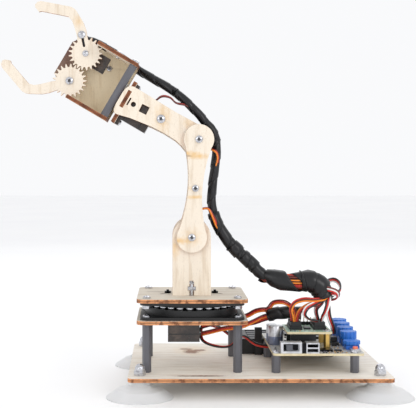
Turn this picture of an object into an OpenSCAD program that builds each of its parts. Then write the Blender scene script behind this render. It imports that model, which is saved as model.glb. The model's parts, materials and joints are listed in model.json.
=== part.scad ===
// Desktop servo arm with a two-jaw gripper, cut from thin plywood, on a suction-cup base.
// Origin: middle of the footprint on the surface it stands on. +X right, +Y back, +Z up.

/* [Base] */
// Length of the base plate along X
base_len = 180; // [176:1:190]
// Depth of the base plate along Y
base_dep = 140; // [136:1:150]
// Thickness of every plywood sheet
ply = 2.7; // [2.5:0.05:2.8]
// Height of a suction cup under the base plate
cup_h = 12.3; // [11:0.1:14]
// Radius of a suction cup at its rim
cup_r = 23; // [20:0.5:24]

/* [Turntable] */
// Height of the posts between base and lower deck
post_h = 33.6; // [33:0.1:36]
// Width of the square decks
deck_w = 77; // [74:0.5:80]
// Distance of the corner screws from the turning axis, along X and Y
corner_x = 31.5; // [30:0.5:32]
corner_y = 30.5; // [30:0.5:32]
// Number of bearing balls
ball_count = 27; // [20:1:28]
// Radius of a bearing ball
ball_r = 2.8; // [2.5:0.1:2.9]
// Radius of the circle that the balls run on
ball_ring_r = 28.5; // [28:0.5:29]

/* [Arm] */
// Height of the shoulder axis above the base plate
shoulder_up = 92.5; // [88:0.5:100]
// Distance between the shoulder and elbow axes
arm_len = 69.5; // [66:0.5:75]
// Lean of the upper arm at rest, in degrees from upright
arm_lean = 4.2; // [-5:0.1:8]
// Angle of the forearm at rest, in degrees above level
fore_tilt = 30.4; // [25:0.1:35]
// Half of the gap between the uprights, which a servo fills
gap_half = 12.6; // [12.6:0.05:13]

/* [Gripper] */
// Height of the gripper's box between its walls
box_gap = 41.5; // [40:0.5:43]
// Number of teeth on each jaw gear
teeth = 21; // [19:2:23]
// Distance between the two jaw axes
jaw_gap = 22.9; // [22.8:0.1:23.2]

/* [Controller] */
// Height of the posts under the main board
board_up = 12; // [11.8:0.1:14]
// Radius of an adjuster knob
knob_r = 6; // [5:0.1:6.4]
// Distance between neighbouring knobs
knob_pitch = 14; // [13:0.5:14.5]

/* [Servos] */
// Length, width and height of a micro servo's case
servo_len = 22.8; // [22:0.1:23]
servo_wid = 12.2; // [11.8:0.1:12.4]
servo_h = 25; // [24:0.1:25]
// Radius of the servo's output shaft
shaft_r = 2.4; // [2.2:0.05:2.5]

/* [Hidden] */
$fn = 48;

// Where the turning axis stands in the frame
axis_x = -7;
axis_y = -16.5;

// Heights above the standing surface
base_top = cup_h + ply;
deck_low = base_top + post_h;
deck_low_top = deck_low + ply;
race_t = 2;
ball_z = deck_low_top + 7.4;
deck_up = deck_low_top + 12.2;
deck_top = deck_up + ply;
shoulder_z = base_top + shoulder_up;
elbow_x = arm_len * sin(arm_lean);
elbow_z = shoulder_z + arm_len * cos(arm_lean);

// Layers across the arm, as distances from its middle plane
plate_out = gap_half + ply;
run_gap = 0.4;
arm_in = plate_out + run_gap;
arm_out = arm_in + ply;

// Fasteners and fits
m3 = 1.45;
m3_hole = 1.6;
m2 = 0.95;
m2_pilot = 1.05;
fit = 0.05;
snug = 0.02;
turn_gap = 0.08;
thread_gap = 0.1;
nut_h = 2.4;
hex_af = 5.5;
hex_r = hex_af / 2 / cos(30);

// Servo details: how far the axis is from the near end, the ears and the shaft
servo_near = 5.9;
ear_over = 4.7;
ear_t = 2.5;
ear_drop = 3;
ear_screw = 2.3;
boss_r = 5.9;
shaft_seat = 5;

// Gripper layout in the forearm's frame: u along the forearm, v across it, upward
roll_v = 1.25;
cross_u = 58;
case_u = cross_u + ear_drop;
wrist_boss = 2.6;
fore_end = 63.6;
box_u = 64;
box_end = 96.8;
plate_end = 116;
back_y = 10;
jaw_u = 101.9;
jaw_v = roll_v + jaw_gap / 2;
wall_in = box_gap / 2;
post_u = 66.75;
post_y = 11.6;
horn_u = 64;
horn_t = 2.3;
roll_u = 66.4;
gear_pitch_r = jaw_gap / 2;

// Board layout, from the turning axis
board_x0 = 55.8;
board_x1 = 118.8;
board_y0 = -34.8;
board_y1 = 54;
board_t = 1.6;
board_z = base_top + board_up;
board_top = board_z + board_t;
shield_x0 = 67;
shield_x1 = 99;
shield_y0 = -20;
shield_y1 = 15.5;
spacer_h = 11;
shield_z = board_top + spacer_h;
shield_top = shield_z + board_t;
knob_x = 113.2;
knob_y0 = -15.5;
button_x = 114;
button_y = -25.2;
switch_x = 68.3;
pack_x0 = 39.5;
pack_x1 = 102.5;
pack_y0 = 38.8;
pack_y1 = 84;
pack_h = 11.6;
cell_r = 5.15;

ply_colour = [0.96, 0.91, 0.83];
nylon_colour = [0.3, 0.3, 0.32];
black = [0.1, 0.1, 0.1];
chrome = [0.8, 0.8, 0.82];
servo_colour = [0.16, 0.13, 0.12];

// Routes in the forearm's frame: along it, to the front, across it
route_fore = [
    [111, -29.7, 12.7], [114.8, -28.5, 15.5], [113.5, -26.5, 20.5], [106, -24.5, 24.5], [92, -22, 25.2],
    [78, -19.3, 24.6], [65, -16.5, 23], [54, -11, 22.4], [41, -5, 22.1], [31.4, -2, 21.5], [21, 0, 19.4],
    [8, 0, 15.9], [0.7, 0, 13.1], [-5, 0, 11.6], [-9.4, 0, 8.2]
];
route_wrist_lead = [[41, 0, 9], [38.5, 2, 14], [33, 3.5, 16], [27, 3.2, 14.8]];
route_elbow_lead = [[-7.8, -7.4, 0], [-10.2, -2, -1.2], [-11.2, 4.6, -1.4], [-16.5, 5.8, 0.4]];

// Routes from the turning axis, heights above the standing surface
route_upper = [
    [17.9, 0, 177.6], [18.2, 0, 168], [17.3, 0, 159], [15.8, 0, 148], [14.6, 0, 134], [15.4, 0, 126]
];
route_shoulder_lead = [[0, -3.6, 115.2], [4, -4.6, 125], [11.6, -6.2, 127.6], [15.8, -5.6, 121]];
route_base = [
    [16, 0, 124.4], [18.4, 0, 117.2], [25.5, 0, 105.5], [34, 0, 96], [43.5, 0, 87.6], [50.5, 0, 80.2]
];
route_thick = [
    [53.5, -0.5, 78.6], [66, -2, 75], [76, -3, 74.8], [85, -3, 75.2], [92, -3, 71.5], [96.2, -3, 62]
];
route_base_lead = [[7.6, 0, 36.8], [14, 1, 38], [24, 3, 40], [36, 6, 41], [44, 9, 43.6], [54, 13, 47.6]];
route_bundle = [[57, 12, 48.5], [64, 9, 50.5], [72, 5.2, 51.5], [80, 3.6, 51.4]];
route_loop_lead = [[57.5, 12, 53.8], [61, 10, 58], [68.5, 5, 58.6], [74.4, -1.6, 54], [75.4, -3.2, 47.6]];
route_lead_a = [[91.5, -6, 58.6], [84.5, -7.8, 58.6], [77.6, -8, 54], [75.2, -8.2, 47.6]];
route_lead_b = [[94.5, -1, 60.6], [90.4, 0.4, 54.5], [91.4, 1, 47.6]];
route_lead_c = [[97.6, -6.4, 59], [98.6, -7.2, 50], [102, -3.4, 41.5], [103.5, 4.5, 36]];
route_power = [
    [38, 46, 22], [22, 33, 36], [9, 16, 40], [8, 7, 31.5], [17, 3, 27.5], [28, 2, 27.5], [37, 4, 34.5],
    [48, 9, 27.5], [61, 16, 24.4]
];

// ---------- places ----------

module place() {
    translate([axis_x, axis_y, 0])
    children();
}

// Upper arm's frame: Z from the shoulder axis to the elbow axis
module at_arm() {
    place()
    translate([0, 0, shoulder_z])
    rotate([0, arm_lean, 0])
    children();
}

// Forearm's frame: X along the forearm from the elbow axis, Y to the front, Z across, upward
module at_fore() {
    place()
    translate([elbow_x, 0, elbow_z])
    rotate([0, fore_tilt, 0])
    rotate([0, 0, 180])
    children();
}

// A sheet cut from an XZ outline, from y0 towards the back
module sheet(y0, t = ply) {
    translate([0, y0 + t, 0])
    rotate([90, 0, 0])
    linear_extrude(t)
    children();
}

// A hole along Y through everything from y0 to y0 + len
module y_bore(x, z, r, y0 = -50, len = 100) {
    translate([x, y0, z])
    rotate([-90, 0, 0])
    cylinder(r = r, h = len);
}

// ---------- shared shapes ----------

module rounded(l, w, r) {
    square([l - 2 * r, w], center = true);
    square([l, w - 2 * r], center = true);
    for (i = [-1, 1], j = [-1, 1])
        translate([i * (l / 2 - r), j * (w / 2 - r)])
        circle(r);
}

module slab(l, w, r, t) {
    linear_extrude(t)
    rounded(l, w, r);
}

// Pan-head screw, head on top of z = 0, shank downwards
module screw(len, r = m3, head_r = 2.75, head_h = 1.9) {
    translate([0, 0, -len])
    cylinder(r = r, h = len);
    difference() {
        rotate_extrude()
        intersection() {
            square([head_r, head_h]);
            translate([0, -head_r * 1.1])
            circle(head_r * 1.1 + head_h);
        }
        for (a = [0, 90])
            rotate(a)
            translate([0, 0, head_h])
            cube([head_r * 1.15, 0.6, 1.4], center = true);
    }
}

module nut(h = nut_h) {
    difference() {
        cylinder(r = hex_r, h = h, $fn = 6);
        translate([0, 0, -1])
        cylinder(r = m3 + thread_gap, h = h + 2);
    }
}

module hex_post(h) {
    difference() {
        cylinder(r = hex_r, h = h, $fn = 6);
        translate([0, 0, -1])
        cylinder(r = m3_hole, h = h + 2);
    }
}

// Micro servo: shaft axis on Z, case from z = 0 down, long end along +X
module servo(boss_h, boss_r = boss_r) {
    color(servo_colour)
    difference() {
        union() {
            translate([-servo_near, -servo_wid / 2, -servo_h])
            cube([servo_len, servo_wid, servo_h]);
            translate([-servo_near - ear_over, -servo_wid / 2, -ear_drop - ear_t])
            cube([servo_len + 2 * ear_over, servo_wid, ear_t]);
            translate([0, 0, -1])
            cylinder(r = boss_r, h = boss_h + 1);
            translate([-servo_near - 1, -2.2, -servo_h + 4])
            cube([1.5, 4.4, 2]);
        }
        translate([0, 0, -shaft_seat])
        cylinder(r = shaft_r + fit, h = 20);
        for (x = [-servo_near - ear_screw, servo_len - servo_near + ear_screw])
            translate([x, 0, -ear_drop - ear_t - 1])
            cylinder(r = 1.1, h = ear_t + 2);
    }
}

// Output shaft in the servo's frame, up to height top, with its screw hole
module shaft(top) {
    difference() {
        translate([0, 0, -shaft_seat + 0.3])
        cylinder(r = shaft_r, h = top + shaft_seat - 0.3);
        translate([0, 0, top - 5])
        cylinder(r = m2 + thread_gap, h = 6);
    }
}

// Double servo horn: hub and bar, flat on z = 0
module bar_horn(len, t, hub_h) {
    difference() {
        union() {
            cylinder(r = 3.6, h = hub_h);
            translate([-len / 2, -2.4, hub_h - t])
            cube([len, 4.8, t]);
            for (s = [-1, 1])
                translate([s * len / 2, 0, hub_h - t])
                cylinder(r = 2.4, h = t);
        }
        for (s = [-1, 1])
            translate([s * len / 2, 0, -1])
            cylinder(r = m2_pilot, h = hub_h + 2);
        translate([0, 0, -1])
        cylinder(r = shaft_r + snug, h = hub_h + 2);
    }
}

// Closed tube along a route, one ring at each point
function unit(v) = v / norm(v);
function heading(p, i) = unit(p[min(i + 1, len(p) - 1)] - p[max(i - 1, 0)]);
function ring_at(p, i, wide, tall, n, ref) =
    let (t = heading(p, i))
    let (a = unit(cross(ref, t)))
    let (b = cross(t, a))
    [for (k = [0:n - 1]) p[i] + wide * cos(360 * k / n) * b + tall * sin(360 * k / n) * a];

module tube(p, wide, tall = 0, n = 8, ref = [0.05, 1, 0.08]) {
    deep = tall == 0 ? wide : tall;
    last = len(p) - 1;
    rings = [for (i = [0:last]) each ring_at(p, i, wide, deep, n, ref)];
    sides = [
        for (i = [0:last - 1], k = [0:n - 1])
            [i * n + k, i * n + (k + 1) % n, (i + 1) * n + (k + 1) % n, (i + 1) * n + k]
    ];
    caps = [[for (k = [n - 1:-1:0]) k], [for (k = [0:n - 1]) last * n + k]];
    polyhedron(rings, concat(sides, caps), convexity = 4);
}

// ---------- base ----------

cup_x = 82;
cup_y = 58;
base_mid_x = 46;
base_mid_y = 16.5;

module at_cups() {
    place()
    for (i = [-1, 1], j = [-1, 1])
        translate([base_mid_x + i * cup_x, base_mid_y + j * cup_y, 0])
        children();
}

module at_corners(z) {
    place()
    for (i = [-1, 1], j = [-1, 1])
        translate([i * corner_x, j * corner_y, z])
        children();
}

board_posts = [[58, -31.6], [112.4, -31.6], [58, 27.5], [104.5, 29]];

module at_board_posts(z) {
    place()
    for (p = board_posts)
        translate([p.x, p.y, z])
        children();
}

module base_plate() {
    color(ply_colour)
    difference() {
        place()
        translate([base_mid_x, base_mid_y, cup_h])
        slab(base_len, base_dep, 4, ply);
        at_cups() translate([0, 0, cup_h - 1]) cylinder(r = 2.1, h = ply + 2);
        at_corners(cup_h - 1) cylinder(r = m3_hole, h = ply + 2);
        at_board_posts(cup_h - 1) cylinder(r = m3_hole, h = ply + 2);
    }
}

module suction_cups() {
    color([0.86, 0.88, 0.9])
    at_cups()
    difference() {
        rotate_extrude()
        polygon([
            [0, 7.2], [0, cup_h], [8.3, cup_h], [8.3, cup_h - 3], [11, cup_h - 5], [16, 5.6], [20.5, 2.4],
            [cup_r, 0.6], [cup_r, 0], [cup_r - 1.6, 0], [18.5, 1.6], [13, 4.4], [7, 6.6]
        ]);
        translate([0, 0, cup_h - 3])
        cylinder(r = 2.05, h = 10);
    }
}

module cup_fasteners() {
    color(chrome)
    at_cups() {
        translate([0, 0, cup_h - 2.9])
        cylinder(r = 1.95, h = ply + 7);
        difference() {
            translate([0, 0, base_top])
            union() {
                cylinder(r = 4.04, h = 3.4, $fn = 6);
                rotate_extrude()
                intersection() {
                    square([3.4, 8]);
                    translate([0, 4.6])
                    union() {
                        circle(3.4);
                        translate([0, -4.6])
                        square([3.4, 4.6]);
                    }
                }
            }
            translate([0, 0, base_top - 1])
            cylinder(r = 2.05, h = 6);
        }
    }
}

module standoffs() {
    color(nylon_colour) {
        at_corners(base_top) hex_post(post_h);
        at_board_posts(base_top) hex_post(board_up);
    }
}

module base_screws() {
    color(chrome) {
        at_corners(cup_h) rotate([180, 0, 0]) screw(ply + 8);
        at_corners(deck_low_top + race_t) screw(race_t + ply + 8);
        at_board_posts(cup_h) rotate([180, 0, 0]) screw(ply + 4.5);
        at_board_posts(board_top) screw(board_t + 4.5, m3, 2.45, 1.7);
        at_spacers(shield_top) screw(board_t + 3, m2, 1.9, 1.3);
        at_spacers(board_z) rotate([180, 0, 0]) screw(board_t + 3, m2, 1.9, 1.3);
        place()
        for (x = [-servo_near - ear_screw, servo_len - servo_near + ear_screw])
            translate([-x, 0, deck_low_top + ear_t])
            screw(ear_t + ply, m2, 1.9, 1.3);
    }
}

module lower_deck() {
    color(ply_colour)
    difference() {
        place()
        translate([0, 0, deck_low])
        slab(deck_w, deck_w, 6, ply);
        at_corners(deck_low - 1) cylinder(r = m3_hole, h = ply + 2);
        place() {
            translate([-servo_len + servo_near - 0.2, -servo_wid / 2 - 0.2, deck_low - 1])
            cube([servo_len + 0.4, servo_wid + 0.4, ply + 2]);
            translate([servo_near, -3, deck_low - 1])
            cube([2, 6, ply + 2]);
            for (x = [-servo_near - ear_screw, servo_len - servo_near + ear_screw])
                translate([-x, 0, deck_low - 1])
                cylinder(r = m2_pilot, h = ply + 2);
        }
    }
}

race_w = 72.5;
race_in = 23.5;
race_out = 33.5;
groove_r = ball_r + 0.1;

module race_plate(z0) {
    difference() {
        translate([0, 0, z0])
        slab(race_w, race_w, 7, race_t);
        translate([0, 0, z0 - 1])
        cylinder(r = race_in, h = race_t + 2);
        for (i = [-1, 1], j = [-1, 1])
            translate([i * corner_x, j * corner_y, z0 - 1])
            cylinder(r = m3_hole, h = race_t + 2);
    }
}

module race_ring(z0, z1) {
    rotate_extrude()
    difference() {
        translate([race_in, z0])
        square([race_out - race_in, z1 - z0]);
        translate([ball_ring_r, ball_z])
        circle(groove_r);
    }
}

module bearing_lower_race() {
    color(black)
    place() {
        race_plate(deck_low_top);
        race_ring(deck_low_top + race_t, ball_z - 1);
    }
}

module bearing_upper_race() {
    color(black)
    place() {
        race_plate(deck_up - race_t);
        race_ring(ball_z + 1.2, deck_up - race_t);
    }
}

module bearing_balls() {
    color(chrome)
    place()
    for (i = [0:ball_count - 1])
        rotate(360 * i / ball_count)
        translate([ball_ring_r, 0, ball_z])
        sphere(r = ball_r, $fn = 24);
}

base_case_top = deck_low_top + ear_t + ear_drop;

module base_servo() {
    place()
    translate([0, 0, base_case_top])
    rotate(180)
    servo(3.2);
}

// ---------- controller ----------

module board(x0, x1, y0, y1, z, r) {
    translate([(x0 + x1) / 2, (y0 + y1) / 2, z])
    slab(x1 - x0, y1 - y0, r, board_t);
}

module at_spacers(z) {
    place()
    for (p = [[95.6, -17], [96.4, 12]])
        translate([p.x, p.y, z])
        children();
}

module main_board() {
    color([0.86, 0.83, 0.72])
    difference() {
        place() board(board_x0, board_x1, board_y0, board_y1, board_z, 2.5);
        at_board_posts(board_z - 1) cylinder(r = m3_hole, h = 4);
        at_spacers(board_z - 1) cylinder(r = m2 + 0.15, h = 4);
    }
}

module shield_board() {
    color([0.78, 0.88, 0.8])
    difference() {
        place() board(shield_x0, shield_x1, shield_y0, shield_y1, shield_z, 1.5);
        at_spacers(shield_z - 1) cylinder(r = m2 + 0.15, h = 4);
    }
}

module board_spacers() {
    color([0.84, 0.74, 0.5])
    at_spacers(board_top)
    difference() {
        cylinder(r = 2.5, h = spacer_h, $fn = 6);
        translate([0, 0, -1])
        cylinder(r = m2 + thread_gap, h = spacer_h + 2);
    }
}

header_x = [74.5, 91.5];
header_rows = [-9, -4, 1, 6];

module pin_headers() {
    color(black)
    place() {
        for (y = [-14.5, 9])
            translate([70, y - 1.25, board_top])
            cube([18, 2.5, spacer_h]);
        for (x = header_x)
            translate([x - 4.5, -11, shield_top])
            cube([9, 19, 2.5]);
        translate([101, -5, board_top])
        cube([5, 16, 2.5]);
    }
}

plug_h = 3;

module servo_plugs() {
    color(black)
    place() {
        for (x = header_x, y = header_rows)
            translate([x - 3.8, y - 1.3, shield_top + 2.5])
            cube([7.6, 2.6, plug_h]);
        translate([101.2, 1, board_top + 2.5])
        cube([4.6, 7.6, plug_h]);
    }
}

// Cans: place, radius and height. Chips: place, length and width
capacitors = [[61.4, 4, 5.4, 13.5], [59.6, 17.5, 3.7, 12.6]];
chips = [[74, -24, 12, 5], [89, -28, 9, 7], [76, 26, 22, 8], [72, 40, 9, 9], [92, 40, 12, 6]];
chip_h = 1.6;
switch_w = 14.6;
switch_d = 7;
switch_h = 7.6;
socket_x = 78.6;
socket_w = 9;
socket_h = 7.2;

module board_parts() {
    color([0.75, 0.76, 0.78])
    place() {
        difference() {
            translate([switch_x - switch_w / 2, -34.5, board_top])
            cube([switch_w, switch_d, switch_h]);
            translate([switch_x - 5.5, -36, board_top + 1.5])
            cube([11, 5.5, 5]);
        }
        difference() {
            translate([socket_x, board_y0, board_top])
            cube([socket_w, socket_w, socket_h]);
            for (z = [1, 4.2])
                translate([socket_x + 0.8, board_y0 - 1.2, board_top + z])
                cube([socket_w - 1.6, 7, 2.2]);
        }
        difference() {
            translate([button_x - 3.4, button_y - 3.4, board_top])
            cube([6.8, 6.8, 1.8]);
            translate([button_x, button_y, board_top + 0.5])
            cylinder(r = 1.8, h = 4);
        }
        for (c = capacitors)
            translate([c[0], c[1], board_top])
            cylinder(r = c[2], h = c[3]);
    }
    color(black)
    place() {
        translate([switch_x + switch_w / 2 + 0.4, board_y0 + 0.4, board_top])
        cube([2.2, 6, 7]);
        for (c = chips)
            translate([c[0], c[1], board_top])
            cube([c[2], c[3], chip_h]);
    }
}

module switch_slider() {
    color([0.35, 0.36, 0.4])
    place() {
        translate([switch_x - 3.6, -36.2, board_top + 2])
        cube([4.2, 5.5, 4]);
    }
}

module button_cap() {
    color([0.95, 0.6, 0.5])
    place()
    translate([button_x, button_y, board_top + 1.4])
    cylinder(r = 1.75, h = 1.8);
}

pot_h = [3, 4.6, 4.6, 4.6, 4.6];
pot_w = 9.4;
stem_r = 1.5;
knob_gap = 0.4;
knob_tops = [6, 10.4, 11.4, 12.4, 13];

module at_knob(i) {
    place()
    translate([knob_x, knob_y0 + i * knob_pitch, board_top])
    children();
}

module pot_bodies() {
    color([0.2, 0.3, 0.5])
    for (i = [0:4])
        at_knob(i)
        difference() {
            translate([-pot_w / 2, -pot_w / 2, 0])
            cube([pot_w, pot_w, pot_h[i]]);
            translate([0, 0, 0.6])
            cylinder(r = stem_r + fit, h = pot_w);
        }
}

// Fluted knob with a stem that turns in its adjuster
module knob(i) {
    under = pot_h[i] + knob_gap;
    top = knob_tops[i];
    flutes = 12;
    color([0.22, 0.46, 0.85])
    at_knob(i) {
        translate([0, 0, 0.8])
        cylinder(r = stem_r, h = under);
        difference() {
            translate([0, 0, under])
            linear_extrude(top - under)
            difference() {
                circle(knob_r);
                for (k = [0:flutes - 1])
                    rotate(360 * k / flutes)
                    translate([knob_r + 0.45, 0])
                    circle(0.95);
            }
            translate([-knob_r, -0.45, top - 0.8])
            cube([knob_r, 0.9, 2]);
        }
    }
}

module knob_1() { knob(0); }
module knob_2() { knob(1); }
module knob_3() { knob(2); }
module knob_4() { knob(3); }
module knob_5() { knob(4); }

pack_wall = 1.4;
cell_pitch = (pack_y1 - pack_y0 - 2 * pack_wall) / 4;

module battery_holder() {
    color(black)
    place() {
        difference() {
            translate([pack_x0, pack_y0, base_top])
            cube([pack_x1 - pack_x0, pack_y1 - pack_y0, pack_h]);
            translate([pack_x0 + 5, pack_y0 + pack_wall, base_top + 1])
            cube([pack_x1 - pack_x0 - 10, pack_y1 - pack_y0 - 2 * pack_wall, pack_h]);
        }
        translate([pack_x0 + 9.5, pack_y0 - 3.6, base_top])
        cube([5.4, 3.6, 20.6]);
    }
}

module battery_cells() {
    color([0.15, 0.15, 0.17])
    place()
    for (i = [0:3])
        translate([pack_x0 + 5.5, pack_y0 + pack_wall + cell_pitch * (i + 0.5), base_top + 1.2 + cell_r])
        rotate([0, 90, 0])
        cylinder(r = cell_r, h = pack_x1 - pack_x0 - 11);
}

// ---------- turret ----------

upright_r = 13.6;
tab_x = 8.5;
tab_w = 5;
slot_h = 10.5;
nut_up = 5;
horn_screw_x = 17;

module upper_deck() {
    color(ply_colour)
    difference() {
        place()
        translate([0, 0, deck_up])
        slab(deck_w, deck_w, 6, ply);
        at_corners(deck_up - 1) cylinder(r = m3_hole, h = ply + 2);
        place() {
            for (i = [-1, 1], j = [-1, 1])
                translate([i * tab_x, j * (gap_half + ply / 2), deck_top - ply / 2])
                cube([tab_w + 0.2, ply + 0.2, ply + 2], center = true);
            for (j = [-1, 1])
                translate([0, j * (gap_half + ply / 2), deck_up - 1])
                cylinder(r = m3_hole, h = ply + 2);
            for (i = [-1, 1])
                translate([i * horn_screw_x, 0, deck_up - 1])
                cylinder(r = m2_pilot, h = ply + 2);
            translate([0, 0, deck_up - 1])
            cylinder(r = 2.8, h = ply + 2);
        }
    }
}

// Outline of an upright, with Z measured from the shoulder axis
module upright_outline(axis_r) {
    foot = deck_top - shoulder_z;
    difference() {
        union() {
            circle(upright_r);
            translate([-upright_r, foot])
            square([2 * upright_r, -foot]);
            for (i = [-1, 1])
                translate([i * tab_x - tab_w / 2, foot - ply])
                square([tab_w, ply + 1]);
        }
        circle(axis_r);
        translate([-1.6, foot - 1])
        square([3.2, slot_h + 1]);
        translate([-2.95, foot + nut_up - 1.35])
        square([5.9, 2.7]);
    }
}

module upright_front() {
    color(ply_colour)
    place()
    translate([0, 0, shoulder_z])
    sheet(-plate_out)
    upright_outline(boss_r + 0.1);
}

module upright_rear() {
    color(ply_colour)
    place()
    translate([0, 0, shoulder_z])
    sheet(gap_half)
    upright_outline(m3_hole);
}

module shoulder_servo() {
    place()
    translate([0, -gap_half, shoulder_z])
    rotate([90, 0, 0])
    rotate(-90)
    servo(ply);
}

module base_horn() {
    top = deck_up;
    color([0.12, 0.12, 0.12])
    place() {
        translate([0, 0, top - 2.6])
        bar_horn(2 * horn_screw_x, 1.9, 2.6);
        translate([0, 0, base_case_top])
        shaft(top - 0.4 - base_case_top);
    }
}

module turret_screws() {
    color(chrome) {
        at_corners(deck_top) screw(ply + race_t + 2.3);
        at_corners(deck_up - race_t - nut_h) nut();
        place() {
            for (j = [-1, 1])
                translate([0, j * (gap_half + ply / 2), 0]) {
                    translate([0, 0, deck_up])
                    rotate([180, 0, 0])
                    screw(ply + 8);
                    translate([0, 0, deck_top + nut_up - 1.2])
                    rotate(30)
                    nut();
                }
            translate([0, arm_out + 0.3, shoulder_z])
            rotate([-90, 0, 0])
            screw(arm_out + 0.3 - gap_half);
            translate([0, 0, deck_up + 0.2])
            screw(4, m2, 2.4, 1.5);
        }
    }
    color([0.2, 0.2, 0.22])
    place()
    for (i = [-1, 1])
        translate([i * horn_screw_x, 0, deck_up - 2.2]) {
            cylinder(r = m2, h = 7.5);
            translate([0, 0, 2.2 + ply])
            difference() {
                cylinder(r = 2.3, h = 1.6, $fn = 6);
                translate([0, 0, -1])
                cylinder(r = m2 + thread_gap, h = 4);
            }
        }
}

// ---------- upper arm ----------

end_r = 10.7;
waist = 5;
flare = 6;

// One side of the link's outline, as half-widths along its length
function half_width(s) = waist + flare * pow(s / (arm_len / 2), 2);

module arm_outline() {
    reach = 29;
    steps = [-reach:4.142:reach + 0.1];
    side = [for (s = steps) [half_width(s), s + arm_len / 2]];
    far = [for (i = [len(side) - 1:-1:0]) [-side[i].x, side[i].y]];
    circle(end_r);
    translate([0, arm_len])
    circle(end_r);
    polygon(concat(side, far));
}

horn_len = 13;
horn_hub = 1.65;
horn_bed = 1.6;
horn_hole = 1.3;

module upper_arm_front() {
    color(ply_colour)
    at_arm()
    difference() {
        sheet(-arm_out)
        difference() {
            arm_outline();
            circle(horn_hole);
            translate([0, arm_len]) circle(horn_hole);
            translate([0, arm_len / 2]) circle(m3_hole);
        }
        for (z = [0, arm_len])
            translate([0, -arm_in - horn_bed, z])
            rotate([-90, 0, 0]) {
                cylinder(r = 3.75, h = 3);
                translate([-horn_len / 2, -2.55, 0])
                cube([horn_len, 5.1, 3]);
                for (s = [-1, 1])
                    translate([s * horn_len / 2, 0, 0])
                    cylinder(r = 2.55, h = 3);
            }
    }
}

module upper_arm_rear() {
    color(ply_colour)
    at_arm()
    sheet(arm_in)
    difference() {
        arm_outline();
        circle(m3 + turn_gap);
        translate([0, arm_len]) circle(m3 + turn_gap);
        translate([0, arm_len / 2]) circle(m3_hole);
    }
}

module arm_spacer() {
    color(nylon_colour)
    at_arm()
    translate([0, arm_in, arm_len / 2])
    rotate([90, 0, 0])
    hex_post(2 * arm_in);
}

// Horn set in the back of the arm's front plate, with the servo's shaft, axis along Y
module arm_horn() {
    rotate([90, 0, 0]) {
        translate([0, 0, plate_out + 0.3])
        bar_horn(horn_len, 1.5, horn_hub);
        translate([0, 0, gap_half])
        shaft(arm_in + 1.5 - gap_half);
    }
}

module shoulder_horn() {
    color(black)
    at_arm()
    arm_horn();
}

module elbow_horn() {
    color(black)
    at_arm()
    translate([0, 0, arm_len])
    arm_horn();
}

module arm_screws() {
    color(chrome)
    at_arm() {
        for (z = [0, arm_len])
            translate([0, -arm_out, z])
            rotate([90, 0, 0])
            screw(5, m2, 2.6, 1.8);
        for (j = [-1, 1])
            translate([0, j * arm_out, arm_len / 2])
            rotate([-90 * j, 0, 0])
            screw(8, m3, 2.4, 1.5);
    }
}

// ---------- forearm ----------

mortise_v = -1.5;
mortise_l = 13.2;
fore_post_u = 30.5;
fore_post_v = -1.1;

module fore_outline(axis_r) {
    difference() {
        union() {
            circle(end_r);
            polygon([
                [0, end_r], [6, 9], [24, 8.3], [52, 8.9], [58.5, 9], [61.6, 7.8], [63.1, 5],
                [fore_end, 1.5], [fore_end, -8], [63, -12], [61.5, -14.2], [59, -14], [50, -11.7],
                [34, -9.3], [24, -8.6], [14, -8.9], [9, -10], [4, -11.8], [0, -end_r]
            ]);
        }
        circle(axis_r);
        translate([fore_post_u, fore_post_v]) circle(m3_hole);
        translate([44.2, -1.3]) rotate(-4) square(5.8, center = true);
        translate([52.6, -2.1]) circle(1.8);
        translate([56.4, -1.9]) square([1.1, 5.7], center = true);
        translate([cross_u - 0.05, mortise_v - mortise_l / 2 - 0.05])
        square([ply + 0.1, mortise_l + 0.1]);
    }
}

module forearm_front() {
    color(ply_colour)
    at_fore()
    sheet(gap_half)
    fore_outline(boss_r + 0.1);
}

module forearm_rear() {
    color(ply_colour)
    at_fore()
    sheet(-plate_out)
    fore_outline(m3_hole);
}

mount_lo = roll_v + servo_near - servo_len - ear_over;
mount_hi = roll_v + servo_near + ear_over + 0.8;

module wrist_mount() {
    case_lo = roll_v + servo_near - servo_len;
    color(ply_colour)
    at_fore()
    difference() {
        union() {
            translate([cross_u, -gap_half + 0.05, mount_lo])
            cube([ply, 2 * gap_half - 0.1, mount_hi - mount_lo]);
            translate([cross_u, -plate_out, mortise_v - mortise_l / 2])
            cube([ply, 2 * plate_out, mortise_l]);
        }
        translate([cross_u - 1, -servo_wid / 2 - 0.1, case_lo - 0.1])
        cube([ply + 2, servo_wid + 0.2, servo_len + 0.2]);
        for (v = [case_lo - ear_screw, case_lo + servo_len + ear_screw])
            translate([cross_u - 1, 0, v])
            rotate([0, 90, 0])
            cylinder(r = m2_pilot, h = ply + 2);
    }
}

module elbow_servo() {
    at_fore()
    translate([0, gap_half, 0])
    rotate([-90, 0, 0])
    servo(ply);
}

module wrist_servo() {
    at_fore()
    translate([case_u, 0, roll_v])
    rotate([0, 90, 0])
    servo(wrist_boss);
}

module forearm_screws() {
    case_lo = roll_v + servo_near - servo_len;
    color(chrome)
    at_fore() {
        for (j = [-1, 1])
            translate([fore_post_u, j * plate_out, fore_post_v])
            rotate([-90 * j, 0, 0])
            screw(8, m3, 3, 2);
        translate([0, -arm_out - 0.3, 0])
        rotate([90, 0, 0])
        screw(arm_out + 0.3 - gap_half);
        for (v = [case_lo - ear_screw, case_lo + servo_len + ear_screw])
            translate([cross_u - ear_t, 0, v])
            rotate([0, -90, 0])
            screw(ear_t + ply, m2, 1.8, 1.2);
    }
    color(nylon_colour)
    at_fore()
    translate([fore_post_u, gap_half, fore_post_v])
    rotate([90, 0, 0])
    hex_post(2 * gap_half);
}

// ---------- gripper ----------

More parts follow.
